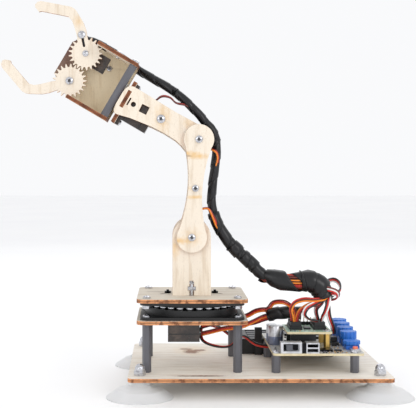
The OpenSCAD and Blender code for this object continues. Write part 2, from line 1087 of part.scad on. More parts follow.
box_lo = roll_v - wall_in;
box_hi = roll_v + wall_in;
wall_front = 15;
notch_u = 90.5;
notch_y = 4;
wall_screws = [[post_u, post_y], [80.2, 5]];
wall_grip = [4, 1];

// The servo plate lies behind the gears, with chamfered far corners
module servo_plate() {
    color(ply_colour)
    at_fore()
    difference() {
        sheet(-back_y - ply)
        difference() {
            polygon([
                [box_u, box_lo], [plate_end - 12, box_lo], [plate_end, box_lo + 9],
                [plate_end, box_hi - 6], [plate_end - 5, box_hi], [box_u, box_hi]
            ]);
            translate([jaw_u, roll_v - jaw_gap / 2]) circle(m3_hole);
        }
        translate([jaw_u - servo_len + servo_near - 0.1, -back_y - ply - 1, jaw_v - servo_wid / 2 - 0.1])
        cube([servo_len + 0.2, ply + 2, servo_wid + 0.2]);
        for (u = [-servo_near - ear_screw, servo_len - servo_near + ear_screw])
            y_bore(jaw_u - u, jaw_v, m2_pilot);
    }
}

// Both walls are the same, but only the upper one is drilled
module gripper_walls() {
    color(ply_colour)
    at_fore()
    difference() {
        for (v = [box_lo - ply, box_hi])
            translate([0, 0, v])
            linear_extrude(ply)
            polygon([
                [box_u, -back_y - ply], [box_u, wall_front], [box_end, wall_front], [box_end, notch_y],
                [notch_u, notch_y], [notch_u, -back_y - ply]
            ]);
        for (p = wall_screws)
            translate([p.x, p.y, box_hi - 1])
            cylinder(r = m3_hole, h = ply + 2);
    }
}

roll_plate_y = 6.5;

module roll_plate() {
    color(ply_colour)
    at_fore()
    difference() {
        translate([roll_u, -back_y + 0.02, box_lo])
        cube([ply, back_y + roll_plate_y, box_gap]);
        translate([roll_u - 1, 0, roll_v])
        rotate([0, 90, 0])
        cylinder(r = 2.8, h = ply + 2);
        for (s = [-1, 1])
            translate([roll_u - 1, 0, roll_v + s * 5.5])
            rotate([0, 90, 0])
            cylinder(r = m2_pilot, h = ply + 2);
    }
}

module gripper_post() {
    color([0.42, 0.42, 0.46])
    at_fore()
    translate([post_u, post_y, box_lo])
    rotate(90)
    hex_post(box_gap);
}

module jaw_servo() {
    at_fore()
    translate([jaw_u, -back_y - ply + ear_drop, jaw_v])
    rotate([-90, 0, 0])
    rotate(180)
    servo(3.3);
}

module wrist_horn() {
    color([0.9, 0.9, 0.88])
    at_fore()
    translate([horn_u, 0, roll_v])
    rotate([0, 90, 0])
    difference() {
        cylinder(r = 8, h = horn_t);
        translate([0, 0, -1])
        cylinder(r = shaft_r + snug, h = horn_t + 2);
        for (s = [-1, 1])
            translate([s * 5.5, 0, -1])
            cylinder(r = m2_pilot, h = horn_t + 2);
    }
    color([0.9, 0.9, 0.88])
    at_fore()
    translate([case_u, 0, roll_v])
    rotate([0, 90, 0])
    shaft(roll_u - case_u - 0.1);
}

jaw_t = ply;

module gripper_screws() {
    color(chrome)
    at_fore() {
        for (k = [0, 1])
            translate([wall_screws[k].x, wall_screws[k].y, box_hi + ply])
            screw(ply + wall_grip[k]);
        for (s = [-1, 1])
            translate([roll_u + ply, 0, roll_v + s * 5.5])
            rotate([0, 90, 0])
            screw(ply + 2.2, m2, 1.8, 1.2);
        for (u = [-servo_near - ear_screw, servo_len - servo_near + ear_screw])
            translate([jaw_u - u, -back_y, jaw_v])
            rotate([-90, 0, 0])
            screw(ply + ear_t, m2, 2.1, 1.3);
        translate([roll_u + ply - 1.2, 0, roll_v])
        rotate([0, 90, 0])
        screw(4, m2, 2.4, 1.4);
        // Pivot of the lower jaw: screw, spacer and nut
        translate([jaw_u, jaw_t / 2 + 0.3, roll_v - jaw_gap / 2])
        rotate([-90, 0, 0])
        screw(16.2);
        translate([jaw_u, -back_y - ply - nut_h, roll_v - jaw_gap / 2])
        rotate([-90, 0, 0])
        nut();
        translate([jaw_u, -back_y, roll_v - jaw_gap / 2])
        rotate([-90, 0, 0])
        difference() {
            cylinder(r = 3, h = back_y - jaw_t / 2 - 0.3);
            translate([0, 0, -1])
            cylinder(r = m3 + thread_gap, h = back_y + 2);
        }
    }
}

tip_r = 12.35;
root_r = 9.95;

// Half-angle of a tooth at its root, pitch circle and tip, in degrees
tooth_half = [[root_r, 5.2], [gear_pitch_r - 0.2, 3.1], [tip_r, 1.1]];

function tooth(a) = concat(
    [for (p = tooth_half) p[0] * [cos(a - p[1]), sin(a - p[1])]],
    [for (i = [2:-1:0]) tooth_half[i][0] * [cos(a + tooth_half[i][1]), sin(a + tooth_half[i][1])]]
);

module gear_outline(phase) {
    polygon([for (k = [0:teeth - 1]) each tooth(phase + 360 * k / teeth)]);
}

// Claw from its gear centre: out to the knee, then in to the tip
module claw_outline() {
    polygon([
        [4, 1], [10.9, 6.8], [17.4, 13.1], [20.6, 15.6], [24.2, 16.7], [42.9, 10.3], [44.2, 8.9],
        [48.2, 10.4], [49.4, 12], [48.8, 14.6], [47, 16.4], [26.2, 23.8], [23.4, 23.9], [20.6, 22.9],
        [12.4, 18.4], [8.4, 15], [5.2, 11.2], [0, 6]
    ]);
}

slot_a = 48.2;

module upper_jaw() {
    color(ply_colour)
    at_fore()
    translate([jaw_u, 0, jaw_v])
    sheet(-jaw_t / 2, jaw_t)
    difference() {
        union() {
            gear_outline(-90);
            claw_outline();
        }
        circle(horn_hole);
        rotate(slot_a) {
            translate([5.6, -0.9])
            square([8.4, 1.8]);
            for (s = [5.6, 14])
                translate([s, 0])
                circle(0.9);
        }
    }
}

module lower_jaw() {
    color(ply_colour)
    at_fore()
    translate([jaw_u, 0, roll_v - jaw_gap / 2])
    sheet(-jaw_t / 2, jaw_t)
    difference() {
        union() {
            gear_outline(90 + 180 / teeth);
            mirror([0, 1])
            claw_outline();
        }
        circle(m3 + turn_gap);
    }
}

jaw_case_y = -back_y - ply + ear_drop;
jaw_horn_len = 17;

module jaw_horn() {
    hub = -jaw_t / 2 - jaw_case_y - 3.3 - 0.3;
    color(black)
    at_fore()
    translate([jaw_u, 0, jaw_v]) {
        translate([0, -jaw_t / 2 - hub, 0])
        rotate([-90, 0, 0])
        rotate(-slot_a)
        difference() {
            union() {
                cylinder(r = 3.6, h = hub);
                translate([0, -2.4, hub - 1.6])
                cube([jaw_horn_len, 4.8, 1.6]);
                translate([jaw_horn_len, 0, hub - 1.6])
                cylinder(r = 2.4, h = 1.6);
            }
            translate([0, 0, -1])
            cylinder(r = shaft_r + snug, h = hub + 2);
            translate([13.8, 0, -1])
            cylinder(r = 0.85, h = hub + 2);
        }
        translate([0, jaw_case_y, 0])
        rotate([-90, 0, 0])
        shaft(-jaw_t / 2 - 0.2 - jaw_case_y);
    }
    color(chrome)
    at_fore()
    translate([jaw_u, jaw_t / 2, jaw_v])
    rotate([-90, 0, 0]) {
        screw(5, m2, 2.2, 1.5);
        rotate(-slot_a)
        translate([13.8, 0, 0])
        screw(4.2, 0.8, 2.7, 1.8);
    }
}

// ---------- wiring ----------

wrap_r = 3;
trunk_r = 4;
thick_r = 6.8;
bundle_r = 4.2;
lead_half = 1.8;
lead_thick = 0.65;

module lead(route, ref = [0.05, 1, 0.08]) {
    tube(route, lead_half, lead_thick, 6, ref);
}

module harness_fore() {
    color(black)
    at_fore() {
        tube(route_fore, wrap_r);
        lead(route_wrist_lead);
        lead(route_elbow_lead, [0, 0, 1]);
    }
}

module harness_upper() {
    color(black)
    place()
    tube(route_upper, wrap_r);
}

module harness_base() {
    color(black)
    place() {
        tube(route_base, trunk_r);
        lead(route_shoulder_lead);
    }
}

module wire_bundles() {
    color(black)
    place() {
        tube(route_thick, thick_r);
        tube(route_bundle, bundle_r);
    }
}

module board_leads() {
    color("orangered")
    place() {
        lead(route_lead_a);
        lead(route_lead_b);
        lead(route_lead_c);
        lead(route_loop_lead);
    }
}

module base_leads() {
    color("firebrick")
    place() {
        lead(route_base_lead);
        tube(route_power, 1.2, 1.2, 6);
    }
}

base_plate();
suction_cups();
cup_fasteners();
standoffs();
base_screws();
lower_deck();
bearing_lower_race();
bearing_balls();
bearing_upper_race();
base_servo();
main_board();
shield_board();
board_spacers();
pin_headers();
board_parts();
pot_bodies();
switch_slider();
button_cap();
knob_1();
knob_2();
knob_3();
knob_4();
knob_5();
battery_holder();
battery_cells();
servo_plugs();
upper_deck();
upright_front();
upright_rear();
shoulder_servo();
base_horn();
turret_screws();
upper_arm_front();
upper_arm_rear();
arm_spacer();
shoulder_horn();
elbow_horn();
arm_screws();
forearm_front();
forearm_rear();
wrist_mount();
elbow_servo();
wrist_servo();
forearm_screws();
servo_plate();
gripper_walls();
roll_plate();
gripper_post();
jaw_servo();
wrist_horn();
gripper_screws();
upper_jaw();
jaw_horn();
lower_jaw();
harness_fore();
harness_upper();
harness_base();
wire_bundles();
board_leads();
base_leads();
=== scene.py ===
"""Desktop servo arm: the looks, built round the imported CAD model."""

import json
import math
import random

import bmesh
import bpy
from mathutils import Matrix, Vector, noise


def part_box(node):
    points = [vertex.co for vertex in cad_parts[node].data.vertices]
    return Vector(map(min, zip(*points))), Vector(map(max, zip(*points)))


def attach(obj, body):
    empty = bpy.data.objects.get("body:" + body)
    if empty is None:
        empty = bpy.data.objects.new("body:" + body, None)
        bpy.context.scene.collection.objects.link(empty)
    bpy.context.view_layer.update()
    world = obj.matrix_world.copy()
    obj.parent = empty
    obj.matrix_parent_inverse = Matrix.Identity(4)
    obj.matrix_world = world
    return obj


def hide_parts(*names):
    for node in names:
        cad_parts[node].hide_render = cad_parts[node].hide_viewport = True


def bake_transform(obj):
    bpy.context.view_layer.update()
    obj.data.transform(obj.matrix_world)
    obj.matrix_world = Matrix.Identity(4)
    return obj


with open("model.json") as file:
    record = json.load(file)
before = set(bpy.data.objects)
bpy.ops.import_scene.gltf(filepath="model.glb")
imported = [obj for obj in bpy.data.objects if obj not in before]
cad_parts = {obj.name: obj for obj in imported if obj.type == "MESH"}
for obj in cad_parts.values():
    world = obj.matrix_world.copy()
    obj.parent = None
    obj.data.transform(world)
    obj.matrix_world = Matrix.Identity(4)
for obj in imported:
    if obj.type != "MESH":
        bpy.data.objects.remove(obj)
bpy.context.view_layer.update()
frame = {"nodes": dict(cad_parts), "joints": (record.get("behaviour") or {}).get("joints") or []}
NODES = frame["nodes"]
JOINTS = {j["name"]: j for j in frame["joints"]}
MM = 0.001
SEED_STRANDS = 5
SEED_PARTS = 11

# ---------- places, from the record's joints ----------

AXIS = Vector(JOINTS["base_yaw"]["pos_m"])
ELBOW = Vector(JOINTS["elbow"]["pos_m"])
ALONG = Vector(JOINTS["wrist_roll"]["axis"]).normalized()
ACROSS = Vector((ALONG.z, 0, -ALONG.x))
RIGHT = Vector((1, 0, 0))
FRONT = Vector((0, -1, 0))
BACK = Vector((0, 1, 0))
UP = Vector((0, 0, 1))


def at_base(p):
    """A point in millimetres from the turning axis, its height above the floor, in metres."""
    return Vector((p[0] * MM + AXIS.x, p[1] * MM + AXIS.y, p[2] * MM))


def at_fore(p):
    """A point in the forearm's frame: along it, to the front, across it."""
    return ELBOW + MM * (p[0] * ALONG + p[1] * FRONT + p[2] * ACROSS)


def new_object(name, bm, *materials, smooth=True):
    mesh = bpy.data.meshes.new(name)
    bm.to_mesh(mesh)
    bm.free()
    for m in materials:
        mesh.materials.append(m)
    if smooth:
        mesh.polygons.foreach_set("use_smooth", [True] * len(mesh.polygons))
    obj = bpy.data.objects.new(name, mesh)
    bpy.context.scene.collection.objects.link(obj)
    return obj


# ---------- camera and light ----------

EYE = (-15.4, -723.5, 153)      # millimetres, as at_base takes them
FOCAL_PX = 1000
SHIFT_PX = (38, -31)
IMAGE_PX = 416
SENSOR_MM = 36

SKY_COLOR = (0.98, 0.985, 1, 1)
SKY_STRENGTH = 0.97
LIT_POINT = Vector((0, 0, 0.12))
# name, place, size, power, colour
LAMPS = (
    ("key", (0.75, -1.1, 0.6), 0.45, 3.2, (1, 0.985, 0.97)),
    ("fill", (-0.7, -1.0, 0.5), 0.4, 1.4, (1, 1, 1)),
    ("rim", (0.1, 0.9, 0.9), 0.7, 1.8, (1, 1, 1)),
)


def add_camera():
    data = bpy.data.cameras.new("camera")
    data.sensor_width = SENSOR_MM
    data.lens = SENSOR_MM * FOCAL_PX / IMAGE_PX
    data.shift_x = SHIFT_PX[0] / IMAGE_PX
    data.shift_y = SHIFT_PX[1] / IMAGE_PX
    data.clip_end = 20
    camera = bpy.data.objects.new("camera", data)
    camera.location = at_base(EYE)
    camera.rotation_euler = (math.radians(90), 0, 0)
    bpy.context.scene.collection.objects.link(camera)
    bpy.context.scene.camera = camera


def add_light():
    bpy.context.scene.view_settings.view_transform = "Standard"
    world = bpy.data.worlds.new("studio")
    world.use_nodes = True
    sky = world.node_tree.nodes["Background"]
    sky.inputs["Color"].default_value = SKY_COLOR
    sky.inputs["Strength"].default_value = SKY_STRENGTH
    bpy.context.scene.world = world
    for name, place, size, power, color in LAMPS:
        data = bpy.data.lights.new(name, "AREA")
        data.size = size
        data.energy = power
        data.color = color
        lamp = bpy.data.objects.new(name, data)
        lamp.location = place
        lamp.rotation_euler = (LIT_POINT - Vector(place)).to_track_quat("-Z", "Y").to_euler()
        bpy.context.scene.collection.objects.link(lamp)


# ---------- materials ----------

def srgb(r, g, b):
    """A colour given as 0 to 255 in sRGB, as linear values."""
    def one(c):
        c /= 255
        return c / 12.92 if c <= 0.04045 else ((c + 0.055) / 1.055) ** 2.4
    return (one(r), one(g), one(b), 1)


# sockets of the Mix node that carry colours
MIX_A, MIX_B, MIX_RESULT = 6, 7, 2
SQUARE_ON = 0.6     # the least share of a normal that counts as facing a direction


class Look:
    """A Principled material with short helpers for its nodes."""

    def __init__(self, name, color, rough=0.5, **inputs):
        self.material = bpy.data.materials.new(name)
        self.material.use_nodes = True
        self.tree = self.material.node_tree
        self.shader = self.tree.nodes["Principled BSDF"]
        self.set("Base Color", color)
        self.set("Roughness", rough)
        for key, value in inputs.items():
            self.set(key.replace("_", " "), value)
        self.place = self.add("ShaderNodeTexCoord")

    def set(self, key, value):
        self.shader.inputs[key].default_value = value

    def add(self, kind, **settings):
        node = self.tree.nodes.new(kind)
        for key, value in settings.items():
            setattr(node, key, value)
        return node

    def feed(self, socket, value):
        if isinstance(value, bpy.types.NodeSocket):
            self.tree.links.new(value, socket)
        else:
            socket.default_value = value

    def math(self, operation, *values):
        node = self.add("ShaderNodeMath", operation=operation)
        for socket, value in zip(node.inputs, values):
            self.feed(socket, value)
        return node.outputs[0]

    def vector(self, scale=(1, 1, 1)):
        node = self.add("ShaderNodeMapping")
        self.feed(node.inputs["Vector"], self.place.outputs["Object"])
        node.inputs["Scale"].default_value = scale
        return node.outputs[0]

    def noise(self, scale, detail=3, rough=0.55, warp=0, stretch=(1, 1, 1)):
        node = self.add("ShaderNodeTexNoise")
        self.feed(node.inputs["Vector"], self.vector(stretch))
        node.inputs["Scale"].default_value = scale
        node.inputs["Detail"].default_value = detail
        node.inputs["Roughness"].default_value = rough
        node.inputs["Distortion"].default_value = warp
        return node.outputs["Fac"]

    def ramp(self, value, *stops):
        """Stops are pairs of a position and a colour or a grey."""
        node = self.add("ShaderNodeValToRGB")
        self.feed(node.inputs["Fac"], value)
        band = node.color_ramp
        while len(band.elements) < len(stops):
            band.elements.new(0.5)
        for element, (at, tone) in zip(band.elements, stops):
            element.position = at
            element.color = tone if hasattr(tone, "__len__") else (tone, tone, tone, 1)
        return node.outputs["Color"]

    def mix(self, amount, first, second, mode="MIX"):
        node = self.add("ShaderNodeMix", data_type="RGBA", blend_type=mode)
        self.feed(node.inputs["Factor"], amount)
        self.feed(node.inputs[MIX_A], first)
        self.feed(node.inputs[MIX_B], second)
        return node.outputs[MIX_RESULT]

    def along(self, direction):
        """Distance of the shaded point along a direction, in metres."""
        node = self.add("ShaderNodeVectorMath", operation="DOT_PRODUCT")
        self.feed(node.inputs[0], self.place.outputs["Object"])
        node.inputs[1].default_value = direction
        return node.outputs["Value"]

    def facing(self, direction):
        """1 where the surface lies square to a direction, 0 where it runs along it."""
        node = self.add("ShaderNodeVectorMath", operation="DOT_PRODUCT")
        self.feed(node.inputs[0], self.place.outputs["Normal"])
        node.inputs[1].default_value = direction
        return self.math("GREATER_THAN", self.math("ABSOLUTE", node.outputs["Value"]), SQUARE_ON)

    def near(self, point, radius, warp, scale=(1, 1, 1)):
        """1 at a point, falling to 0 at a ragged radius, wider along an axis of small scale."""
        away = self.add("ShaderNodeVectorMath", operation="SUBTRACT")
        self.feed(away.inputs[0], self.place.outputs["Object"])
        away.inputs[1].default_value = point
        scaled = self.add("ShaderNodeVectorMath", operation="MULTIPLY")
        self.feed(scaled.inputs[0], away.outputs[0])
        scaled.inputs[1].default_value = scale
        length = self.add("ShaderNodeVectorMath", operation="LENGTH")
        self.feed(length.inputs[0], scaled.outputs[0])
        reach = length.outputs["Value"]
        if warp:
            sway = warp * radius
            ragged = self.math("MULTIPLY_ADD", self.noise(450, 3), sway * 2, -sway)
            reach = self.math("ADD", reach, ragged)
        fall = self.math("SUBTRACT", 1, self.math("DIVIDE", reach, radius))
        return self.math("MAXIMUM", fall, 0)

    def within(self, lo, hi):
        """1 inside a box given by two corners in metres, 0 outside it."""
        parts = self.add("ShaderNodeSeparateXYZ")
        self.feed(parts.inputs[0], self.place.outputs["Object"])
        inside = 1.0
        for value, low, high in zip(parts.outputs, lo, hi):
            inside = self.math("MULTIPLY", inside, self.math("GREATER_THAN", value, low))
            inside = self.math("MULTIPLY", inside, self.math("LESS_THAN", value, high))
        return inside

    def color(self, value):
        self.feed(self.shader.inputs["Base Color"], value)

    def rough(self, value, low, high):
        node = self.add("ShaderNodeMapRange")
        self.feed(node.inputs["Value"], value)
        node.inputs["To Min"].default_value = low
        node.inputs["To Max"].default_value = high
        self.feed(self.shader.inputs["Roughness"], node.outputs[0])

    def bump(self, height, depth_mm, strength=0.5):
        """Comes last: gives the finished material."""
        node = self.add("ShaderNodeBump")
        node.inputs["Strength"].default_value = strength
        node.inputs["Distance"].default_value = depth_mm * MM
        self.feed(node.inputs["Height"], height)
        self.feed(self.shader.inputs["Normal"], node.outputs[0])
        return self.material


def tint(color, factor):
    return tuple(min(1, c * factor) for c in color[:3]) + (1,)


def plastic(name, color, rough=0.45, grain=2600, depth=0.02, spread=0.12, **inputs):
    """Moulded plastic: a fine grain, slight change of tone and gloss."""
    look = Look(name, color, rough, **inputs)
    broad = look.noise(60, 3)
    fine = look.noise(grain, 2, 0.7)
    tones = (0.3, tint(color, 1 - spread)), (0.7, tint(color, 1 + spread))
    look.color(look.ramp(broad, *tones))
    look.rough(look.noise(160, 4), rough - 0.09, rough + 0.09)
    return look.bump(fine, depth)


def metal(name, color, rough, brushed=(1, 1, 1)):
    """Plated metal with fine scratches and dull patches."""
    look = Look(name, color, rough, Metallic=1.0)
    patch = look.noise(220, 4, 0.6)
    look.color(look.ramp(patch, (0.3, tint(color, 0.9)), (0.7, tint(color, 1.05))))
    look.rough(look.noise(700, 5, 0.7, stretch=brushed), rough - 0.08, rough + 0.14)
    return look.bump(look.noise(1500, 3, 0.7, stretch=brushed), 0.015)


PLY_FACE = srgb(238, 226, 209)
# a darker face for tops that face up: painted shade
PLY_SHADED_TOP = srgb(216, 207, 192)
PLY_EDGE = srgb(214, 150, 104)
PLY_EDGE_DARK = srgb(150, 92, 60)
CHAR = srgb(84, 44, 26)
RESIN = srgb(226, 182, 112)


def plywood(node, normal, grain, face=PLY_FACE, burns=(), stains=(), fold=None, edge=PLY_EDGE,
            figure=0.35, scorch_tone=CHAR):
    """Thin plywood: veined faces, and scorched edges that show three layers. Two sheets of one
    node, on both sides of a middle plane, have that plane's distance as their fold."""
    look = Look("ply_" + node, face, 0.62)
    look.set("Specular IOR Level", 0.3)
    normal = Vector(normal)
    sides = [v.co.dot(normal) for v in NODES[node].data.vertices]
    if fold is not None:
        sides = [abs(s - fold) for s in sides]
    low, high = min(sides), max(sides)
    # faces: long soft veins, fine darker lines, pores and pale blotches
    veins = look.noise(34, 6, 0.62, 0.6, stretch=grain)
    lines = look.noise(260, 4, 0.6, 0.2, stretch=grain)
    pores = look.noise(1500, 2, 0.6, stretch=[0.35 + 0.65 * g for g in grain])
    blotch = look.noise(26, 4, 0.6)
    tone = look.ramp(veins, (0.28, tint(face, 0.94)), (0.5, tint(face, 0.99)),
                     (0.72, tint(face, 1.015)))
    dark = look.ramp(lines, (0.34, srgb(200, 178, 148)), (0.5, (1, 1, 1, 1)))
    tone = look.mix(figure, tone, dark, "MULTIPLY")
    tone = look.mix(look.ramp(pores, (0.3, 0.4), (0.4, 0.0)), tone, tint(face, 0.66))
    tone = look.mix(look.ramp(blotch, (0.42, 0.0), (0.7, 0.3)), tone, tint(face, 0.92))
    for point, radius, amount, scale in stains:
        spot = look.math("MULTIPLY", look.near(point, radius * MM, 0.5, scale), amount)
        tone = look.mix(spot, tone, RESIN)
    # burn marks, and a painted shadow where a plate lies in shade
    for point, radius, amount, scale in burns:
        spot = look.math("MULTIPLY", look.near(point, radius * MM, 0.5, scale), 2.2)
        spot = look.math("MULTIPLY", look.math("MINIMUM", spot, 1), amount)
        tone = look.mix(spot, tone, scorch_tone)
    # edges: scorch that comes and goes, with the middle layer darker
    depth = look.along(normal)
    if fold is not None:
        depth = look.math("ABSOLUTE", look.math("SUBTRACT", depth, fold))
    layer = look.math("DIVIDE", look.math("SUBTRACT", depth, low), high - low)
    off_middle = look.math("ABSOLUTE", look.math("SUBTRACT", layer, 0.5))
    bands = look.ramp(off_middle, (0.0, tint(edge, 0.6)), (0.15, tint(edge, 0.7)),
                      (0.19, tint(edge, 1.15)), (0.5, edge))
    scorch = look.noise(240, 4, 0.65)
    burnt = look.mix(look.ramp(scorch, (0.46, 0.0), (0.62, 0.8)), bands, tint(CHAR, 1.2))
    wash = look.ramp(look.noise(90, 3), (0.35, 0.7), (0.65, 1.1))
    burnt = look.mix(1.0, burnt, wash, "MULTIPLY")
    look.color(look.mix(look.facing(normal), burnt, tone))
    look.rough(look.noise(300, 4), 0.5, 0.72)
    return look.bump(look.noise(500, 5, 0.65, stretch=grain), 0.05, 0.35)


# ---------- tubes, wraps and ribbons ----------

BETWEEN = 24        # points worked out from one of a route's points to the next


def smooth(route, step=0.9 * MM):
    """A smooth line through a route's points, resampled evenly."""
    pts = [2 * route[0] - route[1], *route, 2 * route[-1] - route[-2]]
    fine = []
    for a, b, c, d in zip(pts, pts[1:], pts[2:], pts[3:]):
        for k in range(BETWEEN):
            t = k / BETWEEN
            fine.append(0.5 * (2 * b + (c - a) * t + (2 * a - 5 * b + 4 * c - d) * t * t
                               + (3 * b - a - 3 * c + d) * t ** 3))
    fine.append(route[-1].copy())
    count = max(2, round(length_of(fine) / step))
    gap = length_of(fine) / count
    line, gone = [fine[0]], 0.0
    for p, q in zip(fine, fine[1:]):
        leg = (q - p).length
        while len(line) < count and gone + leg >= gap * len(line):
            line.append(p.lerp(q, (gap * len(line) - gone) / leg))
        gone += leg
    line.append(fine[-1])
    return line


def length_of(line):
    return sum((q - p).length for p, q in zip(line, line[1:]))


def frames(line, side):
    """At each point: its place, direction, and two directions across, carried without twist."""
    out = []
    for i, p in enumerate(line):
        d = (line[min(i + 1, len(line) - 1)] - line[max(i - 1, 0)]).normalized()
        side = (side - side.dot(d) * d).normalized()
        out.append((p, d, side, d.cross(side)))
    return out


def value_at(size, s):
    """A size that is a number or a function of the distance along a spine."""
    return size(s) if callable(size) else size


def sweep(bm, spine, radius, sides, offset, material):
    """A round strand along a spine; radius and offset may be functions of distance."""
    rings, gone, last = [], 0.0, spine[0][0]
    for p, d, a, b in spine:
        gone += (p - last).length
        last = p
        r = value_at(radius, gone)
        u, v = value_at(offset, gone)
        mid = p + a * u + b * v
        turn = [2 * math.pi * k / sides for k in range(sides)]
        rings.append([bm.verts.new(mid + r * (math.cos(t) * a + math.sin(t) * b)) for t in turn])
    for one, two in zip(rings, rings[1:]):
        for k in range(sides):
            face = bm.faces.new((one[k], one[(k + 1) % sides], two[(k + 1) % sides], two[k]))
            face.material_index = material
    for ring in (rings[0][::-1], rings[-1]):
        bm.faces.new(ring).material_index = material


STRIP_THICK = 0.7 * MM
STRIP_PROFILE = (0, 0.06, 0.35, 0.65, 0.94, 1)      # shares of the strip's width


def wrap(bm, spine, radius, pitch, cover, lap, phase=0.0, turns=30, crumple=0.012, span=None):
    """A flat plastic strip wound round a spine as a helix, each turn lapping the one before.
    The radius may be a function of distance, cover is the strip's share of the pitch, turns is
    the number of steps in a turn, and span is the stretch of the spine that it covers."""
    step = length_of([f[0] for f in spine]) / (len(spine) - 1)
    first, last = span or (0, step * (len(spine) - 1))
    width = pitch * cover

    def spot(s, t, lift):
        s = min(max(s, first), last)
        i = min(int(s / step), len(spine) - 2)
        f = s / step - i
        p, d, a, b = (x.lerp(y, f) for x, y in zip(spine[i], spine[i + 1]))
        folds = noise.noise(Vector((s * 260, math.cos(t) * 0.8, math.sin(t) * 0.8 + phase)))
        r = (value_at(radius, s) + lift) * (1 + crumple * folds)
        return p + r * (math.cos(t) * a + math.sin(t) * b)

    reach = last - first + width
    rows, count = [], max(2, int(reach / pitch * turns))
    for k in range(count + 1):
        t = 2 * math.pi * k / turns + phase
        start = first + reach * k / count - width
        row = []
        for x in STRIP_PROFILE:
            # the strip's two rims curl down
            lift = lap * x - (STRIP_THICK * 0.6 if x in (0, 1) else 0)
            row.append(bm.verts.new(spot(start + width * x, t, lift)))
        for x in STRIP_PROFILE[::-1]:
            row.append(bm.verts.new(spot(start + width * x, t, lap * x - STRIP_THICK)))
        rows.append(row)
    m = len(rows[0])
    for one, two in zip(rows, rows[1:]):
        for k in range(m):
            bm.faces.new((one[k], two[k], two[(k + 1) % m], one[(k + 1) % m]))
    for row in (rows[0], rows[-1][::-1]):
        bm.faces.new(row)


# ---------- wiring ----------

WIRE_R = 0.6 * MM
WRAP_R = 3.0 * MM
TRUNK_R = 4.0 * MM
BUNDLE_R = 4.2 * MM
STRAND_DEPTH = 1.35 * MM        # a strand's middle below the wrap's surface
FILLER_DEPTH = 1.9 * MM
FILLER = 4                      # the last of the bundle's materials

# Routes in millimetres. The first three are in the forearm's frame, the others start from the
# turning axis. Those that the CAD has too follow its points, and some go on to a hidden end.
ROUTE_FORE = [
    (111, -29.7, 12.7), (114.8, -28.5, 15.5), (113.5, -26.5, 20.5), (106, -24.5, 24.5),
    (92, -22, 25.2), (78, -19.3, 24.6), (65, -16.5, 23), (54, -11, 22.4), (41, -5, 22.1),
    (31.4, -2, 21.5), (21, 0, 19.4), (8, 0, 15.9), (0.7, 0, 13.1), (-5, 0, 11.6), (-9.4, 0, 8.2)]
TAIL_END = 9                    # the point of ROUTE_FORE where the elbow's length takes over
ROUTE_WRIST = [
    (41, 0, 9), (38.5, 2, 14), (33, 3.5, 16), (27, 3.2, 14.8), (20, 1.5, 17.5), (13, 0.5, 16.6)]
ROUTE_ELBOW = [(-7.8, -7.4, 0), (-10.2, -2, -1.2)]
ROUTE_ELBOW_LOW = [
    (15.2, -3.4, 169.9), (18, -4.5, 168), (19.2, -3.2, 163.8), (18.4, -1.6, 158),
    (17.5, -0.8, 153)]
ROUTE_UPPER = [
    (17.9, 0, 177.6), (18.2, 0, 168), (17.3, 0, 159), (15.8, 0, 148), (14.6, 0, 134),
    (15.4, 0, 126)]
ROUTE_SHOULDER = [
    (0, -3.6, 115.2), (4, -4.6, 125), (11.6, -6.2, 127.6), (15.8, -5.6, 121), (18.4, -3.6, 115.6),
    (22, -1.5, 110)]
ROUTE_TRUNK = [
    (16, 0, 124.4), (18.4, 0, 117.2), (25.5, 0, 105.5), (34, 0, 96), (43.5, 0, 87.6),
    (50.5, 0, 80.2)]
ROUTE_THICK = [
    (53.5, -0.5, 78.6), (66, -2, 75), (76, -3, 74.8), (85, -3, 75.2), (92, -3, 71.5),
    (96.2, -3, 62)]
ROUTE_BASE_LEAD = [
    (7.6, 0, 36.8), (14, 1, 38), (24, 3, 40), (36, 6, 41), (44, 9, 43.6), (54, 13, 47.6),
    (62, 10.4, 49)]
ROUTE_BUNDLE = [(57, 12, 48.5), (64, 9, 50.5), (72, 5.2, 51.5), (80, 3.6, 51.4)]
ROUTE_LOOP = [
    (58.4, 11.5, 48.8), (56, 12.6, 52), (57.5, 12, 53.8), (61, 10, 58), (68.5, 5, 58.6),
    (74.4, -1.6, 54), (75.4, -3.2, 47.6)]
ROUTE_A = [
    (96, -4, 68), (94, -5, 62.6), (91.5, -6, 58.6), (84.5, -7.8, 58.6), (77.6, -8, 54),
    (75.2, -8.2, 47.6), (75, -8.2, 45)]
ROUTE_B = [
    (89, -2, 74), (93.5, -1.5, 69), (94.5, -1, 60.6), (90.4, 0.4, 54.5), (91.4, 1, 47.6),
    (91.5, 1, 45)]
ROUTE_C = [(96, -4, 68), (97.6, -6.4, 59), (98.6, -7.2, 50), (102, -3.4, 41.5), (103.5, 4.5, 36)]
ROUTE_POWER = [
    (38, 46, 22), (22, 33, 36), (9, 16, 40), (8, 7, 31.5), (17, 3, 27.5), (28, 2, 27.5),
    (37, 4, 34.5), (48, 9, 27.5), (61, 16, 24.4)]
ROUTE_BACK = [
    (7.6, 5, 45), (12, 14, 45.4), (22, 20, 45), (34, 20, 45), (42, 18, 47.4), (48, 15.6, 51),
    (54, 13.2, 52.4), (60, 10.8, 51.8)]
ROUTE_LOW = [
    (7.6, 3, 41.4), (16, 9, 42.4), (28, 15, 42.2), (38, 16, 41.6), (46, 15.4, 42.4),
    (53, 14.2, 44.8), (60, 11.6, 47.4)]
ROUTE_ARCH = [
    (97, -6, 67), (95, -8.6, 63.4), (88, -10.8, 62.6), (80, -11.4, 62.8), (73.6, -11.6, 60.6),
    (70.8, -11.4, 56), (71.6, -10.6, 51), (72, -9.6, 47.2)]
ROUTE_PALE = [
    (95, -5, 67), (94, -8, 62.6), (88, -12, 60.4), (82, -14.4, 57.4), (80, -14.2, 52.6),
    (84, -12.4, 48.8), (90, -9.6, 47)]
